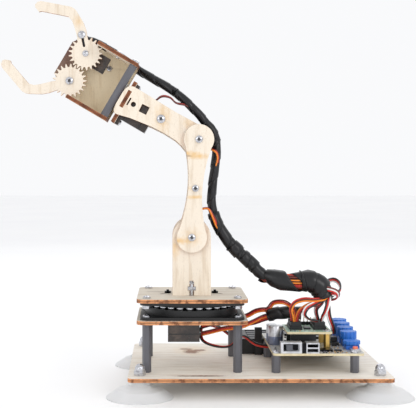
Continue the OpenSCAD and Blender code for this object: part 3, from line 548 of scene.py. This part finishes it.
ROUTE_DROP = [
    (92, -3, 72.5), (98, -6, 67), (97.4, -9.8, 60.5), (95.4, -10.8, 54), (93.6, -8, 49.6),
    (93.2, -4.6, 45)]
ROUTE_CURL = [
    (92, -2, 66), (95.5, 2, 70.5), (100, 5.4, 74.2), (104.6, 5.6, 75), (107.4, 1.4, 72.6),
    (107, -4.6, 68.8), (102.6, -8.4, 66.6), (96, -7.4, 67.4)]
ROUTE_CURL_LOW = [
    (88, -4, 70), (94, -7.4, 70.4), (99, -10.6, 70), (103.6, -10.8, 68), (105, -6.8, 64.4),
    (102.4, -1.6, 61.8), (97.6, 0.4, 62.6), (93.6, -1.4, 66), (90, -4, 70)]

SERVO = ("orange", "red", "brown")
BOARD = ("white", "red", "black")


def make_wire_looks():
    colors = {
        "orange": srgb(246, 140, 32), "red": srgb(206, 44, 34), "brown": srgb(106, 38, 30),
        "white": srgb(238, 238, 236), "black": srgb(30, 29, 31)}
    return {name: plastic("wire_" + name, color, 0.38, 1800, 0.01, 0.1, Coat_Weight=0.25)
            for name, color in colors.items()}


def make_wrap_look():
    look = Look("wrap_black", srgb(20, 20, 22), 0.34)
    look.set("Specular IOR Level", 0.42)
    look.color(look.ramp(look.noise(130, 4), (0.3, srgb(11, 11, 13)), (0.7, srgb(29, 29, 32))))
    look.rough(look.noise(240, 4), 0.24, 0.44)
    return look.bump(look.noise(320, 4, 0.6), 0.1, 0.5)


def harness(name, route, radius, looks, pitch, cover=1.2, phase=0.0, strands=7,
            nodes=(), lap=0.6 * MM, crumple=0.012, collars=()):
    """A bundle of wires in a spiral wrap, which runs between two bodies. Each collar is a second
    layer of wrap over a stretch of it."""
    line = smooth(route, 0.8 * MM)
    spine = frames(line, BACK)
    bm = bmesh.new()
    wrap(bm, spine, radius, pitch, cover, lap, phase, crumple=crumple)
    for k, (first, last, lift) in enumerate(collars):
        def outer(s, lift=lift):
            return value_at(radius, s) + lift
        wrap(bm, spine, outer, pitch * 0.9, 1.1, 0.7 * MM, phase + 1.3 + 2 * k, crumple=0.05,
             span=(first, last))
    for k in range(strands):
        turn = 2 * math.pi * k / strands

        def offset(s, turn=turn):
            reach = value_at(radius, s) - STRAND_DEPTH
            swing = turn + 0.5 * math.sin(s * 45 + turn)
            return reach * math.cos(swing), reach * math.sin(swing)
        sweep(bm, spine, WIRE_R, 6, offset, 1 + k % 3)
    sweep(bm, spine, lambda s: value_at(radius, s) - FILLER_DEPTH, 10, (0, 0), FILLER)
    obj = new_object(name, bm, *looks)
    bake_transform(obj)
    if nodes:
        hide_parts(*nodes)
    return obj, line


def add_harness(looks):
    """The wrapped wiring, from the jaw servo down to the boards, one length for each joint."""
    fore = [at_fore(p) for p in ROUTE_FORE]
    upper = [at_base(p) for p in ROUTE_UPPER]
    trunk = [at_base(p) for p in ROUTE_TRUNK]
    thick = [at_base(p) for p in ROUTE_THICK]
    # from the jaw servo to the forearm, with slack for the wrist's roll
    part, line = harness("harness_tail", fore[:TAIL_END + 1], WRAP_R, looks, 15 * MM,
                         1.15, phase=0.4, lap=0.4 * MM)
    # over the elbow; each length runs on a little inside the next one
    over = fore[TAIL_END:] + [upper[0], upper[0].lerp(upper[1], 0.25)]
    part, line = harness("harness_elbow", over, WRAP_R, looks, 14 * MM,
                         1.15, phase=1.9,
                         nodes=("harness_fore",), lap=0.4 * MM)
    # down the upper arm
    down = [*upper, trunk[0], trunk[0].lerp(trunk[1], 0.3)]
    part, line = harness("harness_upper_wrap", down, WRAP_R, looks, 13 * MM,
                         1.15, phase=0.9,
                         nodes=("harness_upper",), lap=0.5 * MM)
    # from the shoulder down to the boards, inside the thick wrap at its end
    covered = length_of(smooth(trunk))

    def trunk_r(s):
        return TRUNK_R - 0.7 * MM * min(max((s - covered) / (8 * MM), 0), 1)
    part, line = harness("harness_trunk", trunk + thick[1:], trunk_r, looks, 12 * MM,
                         phase=2.6,
                         nodes=("harness_base",), strands=9, crumple=0.03,
                         collars=[(27 * MM, 35 * MM, 0.8 * MM), (38 * MM, 50 * MM, 0.5 * MM)])
    add_thick_wrap(trunk, thick, looks)


def add_thick_wrap(trunk, thick, looks):
    """The thick end of the harness, with wires showing between its turns."""
    spine = frames(smooth([trunk[-1].lerp(thick[0], 0.4), *thick]), BACK)
    total = length_of([f[0] for f in spine])
    bm = bmesh.new()

    def thick_r(s):
        grown = min(s / (14 * MM), 1)
        return (4.5 + 2.1 * grown * grown * (3 - 2 * grown) + 0.3 * math.sin(s * 210)) * MM
    wrap(bm, spine, thick_r, 27 * MM, 0.78, 1.1 * MM, 4.4, 34, 0.09)
    wrap(bm, spine, lambda s: thick_r(s) + 0.35 * MM, 7.5 * MM, 1.2, 1.2 * MM, 1.0, crumple=0.09,
         span=(28 * MM, total - 1.5 * MM))
    rng = random.Random(SEED_STRANDS)
    strands = 26
    for k in range(strands):
        turn = 2 * math.pi * k / strands
        sink = rng.uniform(0, 0.5) * MM

        def offset(s, turn=turn, sink=sink):
            # the strands draw together over the last 6 mm
            drawn = 0.5 * MM * min(1, max(0, (s - total + 6 * MM) / (6 * MM)))
            reach = thick_r(s) - 1.15 * MM - sink - drawn
            swing = turn + 0.35 * math.sin(s * 30 + turn * 2)
            return reach * math.cos(swing), reach * math.sin(swing)
        sweep(bm, spine, 0.62 * MM, 6, offset, 1 + (k // 2) % 3)
    sweep(bm, spine, lambda s: thick_r(s) - 2.2 * MM, 12, (0, 0), FILLER)
    obj = new_object("thick_wrap", bm, *looks)
    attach(obj, "base")
    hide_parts("wire_bundles")
    return obj


def add_board_wrap(looks):
    """The second bundle, which lies over the small board."""
    spine = frames(smooth([at_base(p) for p in ROUTE_BUNDLE]), UP)
    bm = bmesh.new()
    wrap(bm, spine, BUNDLE_R, 11 * MM, 1.12, 0.7 * MM, 1.1, crumple=0.06)
    strands = 12
    reach = BUNDLE_R - 1.3 * MM
    for k in range(strands):
        turn = 2 * math.pi * k / strands
        sweep(bm, spine, WIRE_R, 6, (reach * math.cos(turn), reach * math.sin(turn)), 1 + k % 3)
    sweep(bm, spine, BUNDLE_R - FILLER_DEPTH, 10, (0, 0), FILLER)
    obj = new_object("board_wrap", bm, *looks)
    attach(obj, "base")


def ribbon(name, route, colors, side, body, twist=0.0):
    """A flat lead of three wires side by side. With no body it is left to the caller."""
    line = smooth(route)
    spine = frames(line, side)
    total = length_of(line)
    bm = bmesh.new()
    for k in range(3):
        def offset(s, k=k):
            turn = twist * s / total + 0.25 * math.sin(9 * s / total + k * 0.4)
            reach = 2 * WIRE_R * (k - 1)
            return reach * math.cos(turn), reach * math.sin(turn)
        sweep(bm, spine, WIRE_R, 8, offset, k)
    obj = new_object(name, bm, *colors)
    if body:
        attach(obj, body)
    return obj


def add_leads(wires):
    """Flat leads of three wires, at the servos and where they fan out over the boards."""
    def lead(name, route, colors, side, body="base", node=None, place=at_base, twist=0.0):
        obj = ribbon(name, [place(p) for p in route], [wires[c] for c in colors], side, body,
                     twist)
        if node:
            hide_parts(node)
    lead("lead_wrist", ROUTE_WRIST, ("brown", "red", "black"), BACK, "forearm", place=at_fore)
    run = [at_fore(p) for p in ROUTE_ELBOW] + [at_base(p) for p in ROUTE_ELBOW_LOW]
    obj = ribbon("lead_elbow", run, [wires[c] for c in SERVO], RIGHT, None)
    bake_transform(obj)
    lead("lead_shoulder", ROUTE_SHOULDER, SERVO, BACK, "turret", twist=0.5)
    lead("lead_base", ROUTE_BASE_LEAD, SERVO, UP, node="base_leads", twist=0.3)
    lead("lead_back", ROUTE_BACK, SERVO, UP, twist=-0.3)
    lead("lead_low", ROUTE_LOW, SERVO[::-1], UP, twist=0.2)
    lead("lead_loop", ROUTE_LOOP, ("brown", "red", "orange"), UP)
    lead("lead_a", ROUTE_A, SERVO, RIGHT, node="board_leads")
    lead("lead_b", ROUTE_B, BOARD, RIGHT, twist=0.7)
    lead("lead_c", ROUTE_C, BOARD, RIGHT, twist=0.6)
    lead("lead_arch", ROUTE_ARCH, ("red", "brown", "orange"), RIGHT)
    lead("lead_pale", ROUTE_PALE, BOARD, RIGHT)
    lead("lead_drop", ROUTE_DROP, BOARD[::-1], RIGHT, twist=0.8)
    lead("lead_curl", ROUTE_CURL, BOARD, UP)
    lead("lead_curl_low", ROUTE_CURL_LOW, ("red", "white", "brown"), UP)


def add_battery_pair(wires):
    """The battery's red and black wires, loosely twisted."""
    line = smooth([at_base(p) for p in ROUTE_POWER])
    spine = frames(line, UP)
    bm = bmesh.new()
    for k, sign in enumerate((-1, 1)):
        def offset(s, sign=sign):
            turn = 0.9 + 3.2 * math.sin(s * 24)
            return 0.7 * MM * sign * math.cos(turn), 0.7 * MM * sign * math.sin(turn)
        sweep(bm, spine, 0.68 * MM, 8, offset, k)
    pair = new_object("battery_pair", bm, wires["black"], wires["red"])
    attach(pair, "base")


# ---------- dressing the CAD nodes ----------

WELD = 1e-6     # metres within which two points are one


def dress(node, look):
    obj = NODES[node]
    obj.data.materials.clear()
    obj.data.materials.append(look)


def soften(node, width_mm, angle=30):
    """Breaks a CAD node's sharp edges without changing its mesh."""
    obj = NODES[node]
    weld = obj.modifiers.new("weld", "WELD")
    weld.merge_threshold = WELD
    bevel = obj.modifiers.new("bevel", "BEVEL")
    bevel.width = width_mm * MM
    bevel.segments = 2
    bevel.limit_method = "ANGLE"
    bevel.angle_limit = math.radians(angle)


def dress_plywood():
    # how a figure or a mark is drawn out: the smaller the number, the longer along that axis
    along_x, along_y, along_z = (0.12, 1, 1), (1, 0.12, 1), (1, 1, 0.12)
    even, band, streak = (1, 1, 1), (0.4, 1, 1.6), (0.16, 1, 1)
    wide, tall = (0.7, 0.5, 1), (1, 1, 0.5)
    plate_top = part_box("base_plate")[1][2] / MM
    arm_face = (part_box("upper_arm_front")[0][1] - AXIS.y) / MM
    middle = at_fore((0, 0, 1.25)).dot(ACROSS)

    def ply(node, normal, grain, **more):
        dress(node, plywood(node, normal, grain, **more))

    def on_plate(x, y):
        return at_base((x, y, plate_top))

    def on_arm(x, z):
        return at_base((x, arm_face, z))

    # marks: place, radius in millimetres, strength, shape
    ply("base_plate", UP, along_x, face=srgb(240, 233, 222), figure=0.4,
        scorch_tone=srgb(118, 62, 28), stains=[(on_plate(2, 54), 12, 0.4, wide)],
        burns=[(on_plate(1, 49), 4.8, 0.8, wide), (on_plate(-3, 60), 2.8, 0.6, (0.45, 0.5, 1)),
               (on_plate(7.5, 55), 2.6, 0.7, (0.5, 0.5, 1)),
               (on_plate(5, -43.7), 2.7, 0.85, (0.12, 1, 1))])
    # the decks' tops take the darker face: painted shade
    ply("lower_deck", UP, along_x, face=PLY_SHADED_TOP)
    ply("upper_deck", UP, along_x, face=PLY_SHADED_TOP, figure=0.5, burns=[
        (at_base((-20.6, -4, 66.2)), 1.9, 0.9, (0.7, 1, 1)),
        (at_base((20.6, -4, 66.2)), 1.9, 0.9, (0.7, 1, 1)),
        (at_base((-26, 8, 66.2)), 1.6, 0.5, streak)])
    ply("upright_front", BACK, along_z, stains=[(at_base((-12, -15.3, 100)), 5, 0.5, tall)])
    ply("upright_rear", BACK, along_z)
    ply("upper_arm_front", BACK, along_z, stains=[
        (on_arm(4, 165), 4.5, 0.9, band), (on_arm(-4, 167), 4, 0.8, band),
        (on_arm(2, 136), 2.6, 0.8, (0.3, 1, 1.4)), (on_arm(0, 142), 2, 0.35, streak),
        (on_arm(0, 107.5), 8, 0.35, even), (on_arm(-9, 105), 5, 0.8, band)],
        burns=[(on_arm(-4, 165), 1.8, 0.4, band)])
    ply("upper_arm_rear", BACK, along_z)
    for node in ("forearm_front", "forearm_rear"):
        ply(node, BACK, along_z, stains=[
            (at_fore((30, 15, 0)), 7, 0.5, tall), (at_fore((12, 15, 6)), 5, 0.4, even)])
    ply("wrist_mount", ALONG, along_y, edge=PLY_EDGE_DARK)
    ply("roll_plate", ALONG, along_y)
    ply("gripper_walls", ACROSS, along_y, fold=middle, edge=PLY_EDGE_DARK)
    # a darker face, painted shade; the pinkish-brown marks at the far end are a painted shadow with
    # painted pink bounce light
    ply("servo_plate", BACK, along_z, face=srgb(216, 202, 174), edge=PLY_EDGE_DARK,
        scorch_tone=srgb(112, 76, 70), burns=[
            (at_fore((118, -10, 0)), 17, 0.85, even), (at_fore((116, -10, 16)), 13, 0.85, even)])
    ply("upper_jaw", BACK, along_z, stains=[(at_fore((118, 1.4, 30)), 5, 0.4, even)])
    ply("lower_jaw", BACK, along_z)


def make_cup_look():
    look = Look("cup_vinyl", srgb(250, 250, 251), 0.3, Transmission_Weight=0.35, IOR=1.45,
                Subsurface_Weight=0.3, Subsurface_Radius=(0.006, 0.006, 0.006))
    look.color(look.ramp(look.noise(40, 2), (0.3, srgb(246, 247, 249)), (0.7, srgb(254, 254, 254))))
    look.rough(look.noise(60, 2), 0.24, 0.4)
    return look.bump(look.noise(60, 2), 0.05, 0.2)


# shares of a servo case's length along its output shaft
SEAMS_AT = (0.2, 0.66)
SEAM_HALF_WIDTH = 0.012


def make_servo_look(node, axis):
    """Smoked plastic case: dark brown and glossy, lighter where it is clear, with two seams."""
    look = Look("case_" + node, srgb(40, 32, 30), 0.22, Coat_Weight=0.3, Coat_Roughness=0.12)
    cloud = look.ramp(look.noise(90, 3), (0.32, srgb(34, 27, 25)), (0.55, srgb(58, 47, 42)),
                      (0.75, srgb(98, 83, 73)))
    reach = [v.co.dot(axis) for v in NODES[node].data.vertices]
    low, high = min(reach), max(reach)
    place = look.math("DIVIDE", look.math("SUBTRACT", look.along(axis), low), high - low)
    seams = 0.0
    for at in SEAMS_AT:
        gap = look.math("ABSOLUTE", look.math("SUBTRACT", place, at))
        seams = look.math("MAXIMUM", seams, look.math("LESS_THAN", gap, SEAM_HALF_WIDTH))
    look.color(look.mix(seams, cloud, srgb(8, 7, 7)))
    look.rough(look.noise(300, 3), 0.14, 0.32)
    grain = look.math("MULTIPLY", look.noise(900, 3), 0.2)
    return look.bump(look.math("SUBTRACT", grain, seams), 0.12, 0.6)


def make_board_look(name, face, trace):
    """Circuit board: solder mask with traces and scattered pads, and a bare edge."""
    look = Look(name, face, 0.42, Coat_Weight=0.2)
    traces = look.add("ShaderNodeTexBrick")
    look.feed(traces.inputs["Vector"], look.vector())
    traces.inputs["Scale"].default_value = 320
    traces.inputs["Mortar Size"].default_value = 0.03
    traces.inputs["Color1"].default_value = face
    traces.inputs["Color2"].default_value = tint(face, 0.94)
    traces.inputs["Mortar"].default_value = trace
    pads = look.add("ShaderNodeTexVoronoi")
    look.feed(pads.inputs["Vector"], look.vector())
    pads.inputs["Scale"].default_value = 420
    spots = look.ramp(pads.outputs["Distance"], (0.16, 1.0), (0.2, 0.0))
    keep = look.ramp(look.noise(80, 2), (0.52, 0.0), (0.56, 1.0))
    pad = look.math("MULTIPLY", spots, keep)
    tone = look.mix(pad, traces.outputs["Color"], srgb(214, 212, 204))
    edge = look.ramp(look.noise(300, 4), (0.3, srgb(206, 190, 150)), (0.7, srgb(232, 220, 186)))
    look.color(look.mix(look.facing(UP), edge, tone))
    look.rough(look.noise(200, 3), 0.32, 0.5)
    return look.bump(traces.outputs["Fac"], 0.05, 0.4)


# Places on the main board, in millimetres from the turning axis and above the board's top
BOARD_PARTS_HEIGHT = 13.5
# the switch's and the socket's cavities, which get painted shade
SHADED_CAVITIES_Y = (-34.2, -27.6)
SHADED_CAVITIES = ((63.1, 73.5, 1.6, 6.4), (79.4, 86.8, 1.0, 3.2), (79.4, 86.8, 4.2, 6.4))
DARK_PARTS = (
    (75.9, 78.3, -35, -28), (72, 99, -24.2, -18.9), (89, 99, -28.1, -20.9), (71, 105, 25, 50))


def make_tin_look():
    """Bright tinned parts of the main board, with painted shade inside the switch and the socket.
    """
    look = Look("tin", srgb(196, 198, 204), 0.3, Metallic=0.85)
    patch = look.noise(240, 4, 0.6)
    tone = look.ramp(patch, (0.3, srgb(176, 178, 183)), (0.7, srgb(226, 227, 231)))
    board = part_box("board_parts")[1][2] / MM - BOARD_PARTS_HEIGHT

    def inside(x0, x1, y0, y1, z0, z1):
        return look.within(at_base((x0, y0, board + z0)), at_base((x1, y1, board + z1)))
    # the cavities lie behind the front faces, and painted shade darkens them
    for x0, x1, z0, z1 in SHADED_CAVITIES:
        tone = look.mix(inside(x0, x1, *SHADED_CAVITIES_Y, z0, z1), tone, srgb(22, 22, 25))
    # the sleeves of the round cans, then chips, headers and the jack
    sleeves = look.math("MULTIPLY", inside(54, 67, -2, 22, 0, 6), 0.75)
    tone = look.mix(sleeves, tone, srgb(92, 108, 148))
    for x0, x1, y0, y1 in DARK_PARTS:
        tone = look.mix(inside(x0, x1, y0, y1, -1, 7.1), tone, srgb(26, 26, 29))
    look.color(tone)
    look.rough(look.noise(700, 5, 0.7, stretch=(1, 1, 0.15)), 0.2, 0.42)
    return look.bump(look.noise(1500, 3, 0.7), 0.015)


def front_recesses(node):
    """The middle of the recess in each screw head that faces the front."""
    bm = bmesh.new()
    bm.from_mesh(NODES[node].data)
    bmesh.ops.remove_doubles(bm, verts=bm.verts, dist=WELD)
    seen, spots = set(), []
    for first in bm.verts:
        if first in seen:
            continue
        seen.add(first)
        solid, edge = [first], [first]
        while edge:
            v = edge.pop()
            for link in v.link_edges:
                other = link.other_vert(v)
                if other not in seen:
                    seen.add(other)
                    solid.append(other)
                    edge.append(other)
        lo = Vector([min(v.co[k] for v in solid) for k in range(3)])
        hi = Vector([max(v.co[k] for v in solid) for k in range(3)])
        # a screw is longer than its head is wide; a nut or a washer isn't
        wide, deep = max(hi.x - lo.x, hi.z - lo.z), hi.y - lo.y
        if deep > wide > 3 * MM:
            spots.append(((lo.x + hi.x) / 2, lo.y + 0.5 * MM, (lo.z + hi.z) / 2))
    bm.free()
    return spots


STEEL_STOPS = (
    (0.32, srgb(150, 150, 156)), (0.5, srgb(196, 197, 202)), (0.7, srgb(220, 221, 225)))


def make_steel_look(name, dark_boxes=(), shaded_recesses=()):
    """Plated screws, blackened in some places, with painted shade in the recesses of their heads.
    """
    look = Look(name, srgb(205, 206, 210), 0.2, Metallic=1.0)
    tone = look.ramp(look.noise(900, 4, 0.6), *STEEL_STOPS)
    for lo, hi in dark_boxes:
        tone = look.mix(look.within(lo, hi), tone, srgb(26, 25, 27))
    # painted shade in the middle of each head's recess
    for spot in shaded_recesses:
        shade = look.math("MULTIPLY", look.near(spot, 1.5 * MM, 0), 2.4)
        tone = look.mix(look.math("MINIMUM", shade, 0.85), tone, srgb(40, 38, 40))
    look.color(tone)
    look.rough(look.noise(700, 5, 0.7), 0.12, 0.34)
    return look.bump(look.noise(1500, 3, 0.7), 0.02)


def make_jaw_horn_look():
    """Black behind the jaw; the two screws in front of it are steel."""
    look = Look("jaw_horn", srgb(20, 20, 22), 0.4)
    jaw_face = -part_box("upper_jaw")[0][1] - 0.1 * MM
    in_front = look.math("GREATER_THAN", look.along(FRONT), jaw_face)
    patch = look.noise(900, 4, 0.6)
    steel = look.ramp(patch, *STEEL_STOPS)
    black = look.ramp(patch, (0.3, srgb(15, 15, 17)), (0.7, srgb(28, 28, 31)))
    look.color(look.mix(in_front, black, steel))
    look.feed(look.shader.inputs["Metallic"], in_front)
    look.rough(look.noise(700, 5, 0.7), 0.16, 0.4)
    return look.bump(look.noise(1500, 3, 0.7), 0.02)


def dress_rest():
    steel = make_steel_look("screw_steel")
    nylon = plastic("nylon_dark", srgb(92, 92, 98), 0.42, 1400, 0.03, 0.16)
    black = plastic("black_plastic", srgb(22, 22, 24), 0.42)
    for node in ("cup_fasteners", "base_screws"):
        dress(node, steel)
    for node in ("arm_screws", "forearm_screws", "gripper_screws"):
        dress(node, make_steel_look("steel_" + node, shaded_recesses=front_recesses(node)))
    # the two deck screws beside the upright are black
    beside = [(at_base((x - 3, -3, 58)), at_base((x + 3, 3, 75))) for x in (-17, 17)]
    dress("turret_screws", make_steel_look("turret_steel", beside))
    for node in ("standoffs", "arm_spacer", "gripper_post"):
        dress(node, nylon)
    for node, axis in (("base_servo", UP), ("shoulder_servo", BACK), ("elbow_servo", BACK),
                       ("wrist_servo", ALONG), ("jaw_servo", BACK)):
        dress(node, make_servo_look(node, axis))
        soften(node, 0.35)
    bearing = plastic("bearing_black", srgb(14, 14, 16), 0.4, 900, 0.03, 0.2)
    dress("bearing_lower_race", bearing)
    dress("bearing_upper_race", bearing)
    dress("bearing_balls", metal("ball_steel", srgb(196, 197, 201), 0.12))
    dress("suction_cups", make_cup_look())
    dress("main_board",
          make_board_look("main_board", srgb(192, 189, 178), srgb(134, 137, 140)))
    dress("shield_board",
          make_board_look("shield_board", srgb(176, 208, 186), srgb(122, 164, 136)))
    dress("board_spacers", metal("brass", srgb(214, 178, 104), 0.28, (1, 1, 0.1)))
    for node in ("pin_headers", "servo_plugs", "battery_holder"):
        dress(node, black)
        soften(node, 0.15)
    dress("board_parts", make_tin_look())
    soften("board_parts", 0.25)
    knob_look = plastic("knob_blue", srgb(40, 110, 200), 0.42, 1600, 0.03, 0.14)
    dress("pot_bodies", plastic("pot_blue", srgb(34, 98, 190), 0.4))
    for k in range(1, 6):
        dress(f"knob_{k}", knob_look)
        soften(f"knob_{k}", 0.3, 40)
    dress("switch_slider", plastic("slider_grey", srgb(84, 86, 94), 0.5))
    dress("button_cap", plastic("button_pink", srgb(240, 128, 98), 0.4))
    dress("battery_cells", plastic("cell_sleeve", srgb(40, 40, 46), 0.3, 300, 0.01, 0.3))
    horn = plastic("horn_black", srgb(20, 20, 22), 0.45)
    for node in ("base_horn", "shoulder_horn", "elbow_horn"):
        dress(node, horn)
    dress("jaw_horn", make_jaw_horn_look())
    dress("wrist_horn", plastic("horn_white", srgb(232, 232, 226), 0.45))
    for node in ("standoffs", "gripper_post"):
        soften(node, 0.25)
    for node in ("base_plate", "lower_deck", "upper_deck", "upright_front", "upright_rear",
                 "upper_arm_front", "upper_arm_rear", "forearm_front", "forearm_rear",
                 "wrist_mount", "roll_plate", "gripper_walls", "servo_plate", "upper_jaw",
                 "lower_jaw"):
        soften(node, 0.12)


# ---------- small parts on the boards ----------

# Places in millimetres from the front left corner of each board
FRONT_ROWS = [(x, 2.6) for x in range(3, 62, 2)] + [(x, 6.8) for x in range(34, 50, 3)]
SIDE_PARTS = (
    (3.4, 12), (6.8, 13.6), (3.2, 16.4), (7.4, 17.6), (3.6, 20.8), (45, 12), (47.6, 15),
    (45.4, 18), (48, 21), (46, 25), (49, 29), (51.4, 17.4), (51.2, 33), (50, 37))
FIELD_X = (6, 10.5, 15, 24, 31, 38, 44, 50)
FIELD_Y = (50, 54, 60, 66, 74, 80, 84)
SHIELD_PARTS = (
    (3, 4), (6, 4.4), (9.4, 3.8), (13, 4.2), (16.4, 4), (19.8, 4.4), (26.4, 5), (29.4, 8),
    (29.8, 14), (3, 30), (7, 31.6), (22, 31), (16, 27))
# across, deep, size, legs on each side
CHIPS = (
    (46, 8.6, (5, 3.6, 1.3), 5), (21, 22, (10, 6, 2.4), 9), (26, 40, (12, 7, 2.2), 10),
    (50, 80, (6, 5, 1.4), 6))
SHIELD_CHIP = (15.8, 14, (4.6, 6.4, 1.3), 4)
PIN_PITCH = 2.54
CERAMIC, TINNED, RESIN_BODY, AMBER, GOLD = range(5)


def block(bm, middle, size, chamfer, material=0, turn=0.0):
    """A small box with chamfered edges, standing on its middle point."""
    x, y, z = (v * MM / 2 for v in size)
    c = chamfer * MM
    spin = Matrix.Rotation(turn, 3, "Z")
    rings = []
    for dz, inset in ((0, c), (c, 0), (2 * z - c, 0), (2 * z, c)):
        corners = []
        for sx, sy in ((-1, -1), (1, -1), (1, 1), (-1, 1)):
            for kx, ky in (((1, 0), (0, 1)) if sx * sy > 0 else ((0, 1), (1, 0))):
                p = Vector((sx * (x - inset - c * kx), sy * (y - inset - c * ky), dz))
                corners.append(bm.verts.new(middle + spin @ p))
        rings.append(corners)
    for one, two in zip(rings, rings[1:]):
        for k in range(8):
            face = bm.faces.new((one[k], one[(k + 1) % 8], two[(k + 1) % 8], two[k]))
            face.material_index = material
    for ring in (rings[0][::-1], rings[-1]):
        bm.faces.new(ring).material_index = material


def chip(bm, foot, size, legs):
    block(bm, foot, size, 0.15, CERAMIC)
    for k in range(legs):
        along = (k + 0.5) / legs * size[0] - size[0] / 2
        for side in (-1, 1):
            leg = foot + Vector((along, side * (size[1] / 2 + 0.35), 0)) * MM
            block(bm, leg, (0.4, 0.9, 0.35), 0.08, TINNED)


def resistor(bm, foot, turn, body):
    """A small part with a tinned pad at each end."""
    block(bm, foot, (1.2, 1.1, 0.55), 0.1, body, turn)
    step = Vector((math.cos(turn), math.sin(turn), 0)) * 0.8 * MM
    for side in (-1, 1):
        block(bm, foot + side * step, (0.5, 1.1, 0.6), 0.1, TINNED, turn)


def front_is_free(x, y):
    """False where the switch, the socket and the posts stand along the front edge."""
    return not (10 < x < 33 and y < 8 or abs(x - 2.4) < 4 or abs(x - 57) < 5)


def field_is_free(x, y):
    """False near the posts and under the larger parts at the back of the board."""
    return (abs(x - 3) > 4 and not (12 < x < 42 and 54 < y < 66)
            and not (12 < x < 28 and 68 < y < 82) and not (x > 34 and y > 70))


def add_small_parts():
    """Chips, resistors, solder pads and pins that crowd the two boards."""
    rng = random.Random(SEED_PARTS)
    bm = bmesh.new()

    def corner(node):
        lo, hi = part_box(node)
        return Vector((lo[0], lo[1], hi[2]))
    board, shield = corner("main_board"), corner("shield_board")

    def put(origin, x, y, bodies):
        foot = origin + Vector((x, y, 0)) * MM
        resistor(bm, foot, rng.choice((0, math.pi / 2)), rng.choice(bodies))
    mixed = (CERAMIC, RESIN_BODY, AMBER)
    for x, y in FRONT_ROWS:
        if front_is_free(x, y):
            put(board, x + rng.uniform(-0.3, 0.3), y, mixed)
    for x, y in SIDE_PARTS:
        put(board, x, y, mixed)
    for y in FIELD_Y:
        for x in FIELD_X:
            if field_is_free(x, y) and rng.random() < 0.7:
                put(board, x + rng.uniform(-1, 1), y + rng.uniform(-0.8, 0.8), mixed)
    for x, y, size, legs in CHIPS:
        chip(bm, board + Vector((x, y, 0)) * MM, size, legs)
    for x, y in SHIELD_PARTS:
        put(shield, x, y, (CERAMIC, AMBER, RESIN_BODY))
    x, y, size, legs = SHIELD_CHIP
    chip(bm, shield + Vector((x, y, 0)) * MM, size, legs)
    # the row of free header pins along the shield's back edge
    depth = (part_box("shield_board")[1][1] - shield.y) / MM
    for k in range(8):
        foot = shield + Vector((6 + PIN_PITCH * k, depth - 2.2, 0)) * MM
        block(bm, foot, (2.3, 2.3, 2.4), 0.2, CERAMIC)
        block(bm, foot + 2.4 * MM * UP, (0.6, 0.6, 3.4), 0.15, GOLD)
    looks = [plastic("chip_black", srgb(24, 24, 27), 0.38),
             metal("solder", srgb(206, 206, 210), 0.28),
             plastic("part_resin", srgb(96, 92, 118), 0.4),
             plastic("part_amber", srgb(196, 160, 104), 0.4),
             metal("pin_gold", srgb(222, 184, 104), 0.24, (1, 1, 0.1))]
    parts = new_object("board_small_parts", bm, *looks, smooth=False)
    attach(parts, "base")


def add_floor():
    look = Look("floor", srgb(250, 250, 250), 0.6)
    tones = (0.3, srgb(248, 248, 249)), (0.7, srgb(252, 252, 252))
    look.color(look.ramp(look.noise(3, 3), *tones))
    bm = bmesh.new()
    bmesh.ops.create_grid(bm, x_segments=8, y_segments=8, size=6)
    new_object("floor", bm, look.material)


add_camera()
wire_looks = make_wire_looks()
wrap_look = make_wrap_look()
bundle_looks = [wrap_look] + [wire_looks[c] for c in ("orange", "red", "brown", "black")]
add_harness(bundle_looks)
add_board_wrap(bundle_looks)
add_leads(wire_looks)
add_battery_pair(wire_looks)
add_light()
add_floor()
dress_plywood()
dress_rest()
add_small_parts()
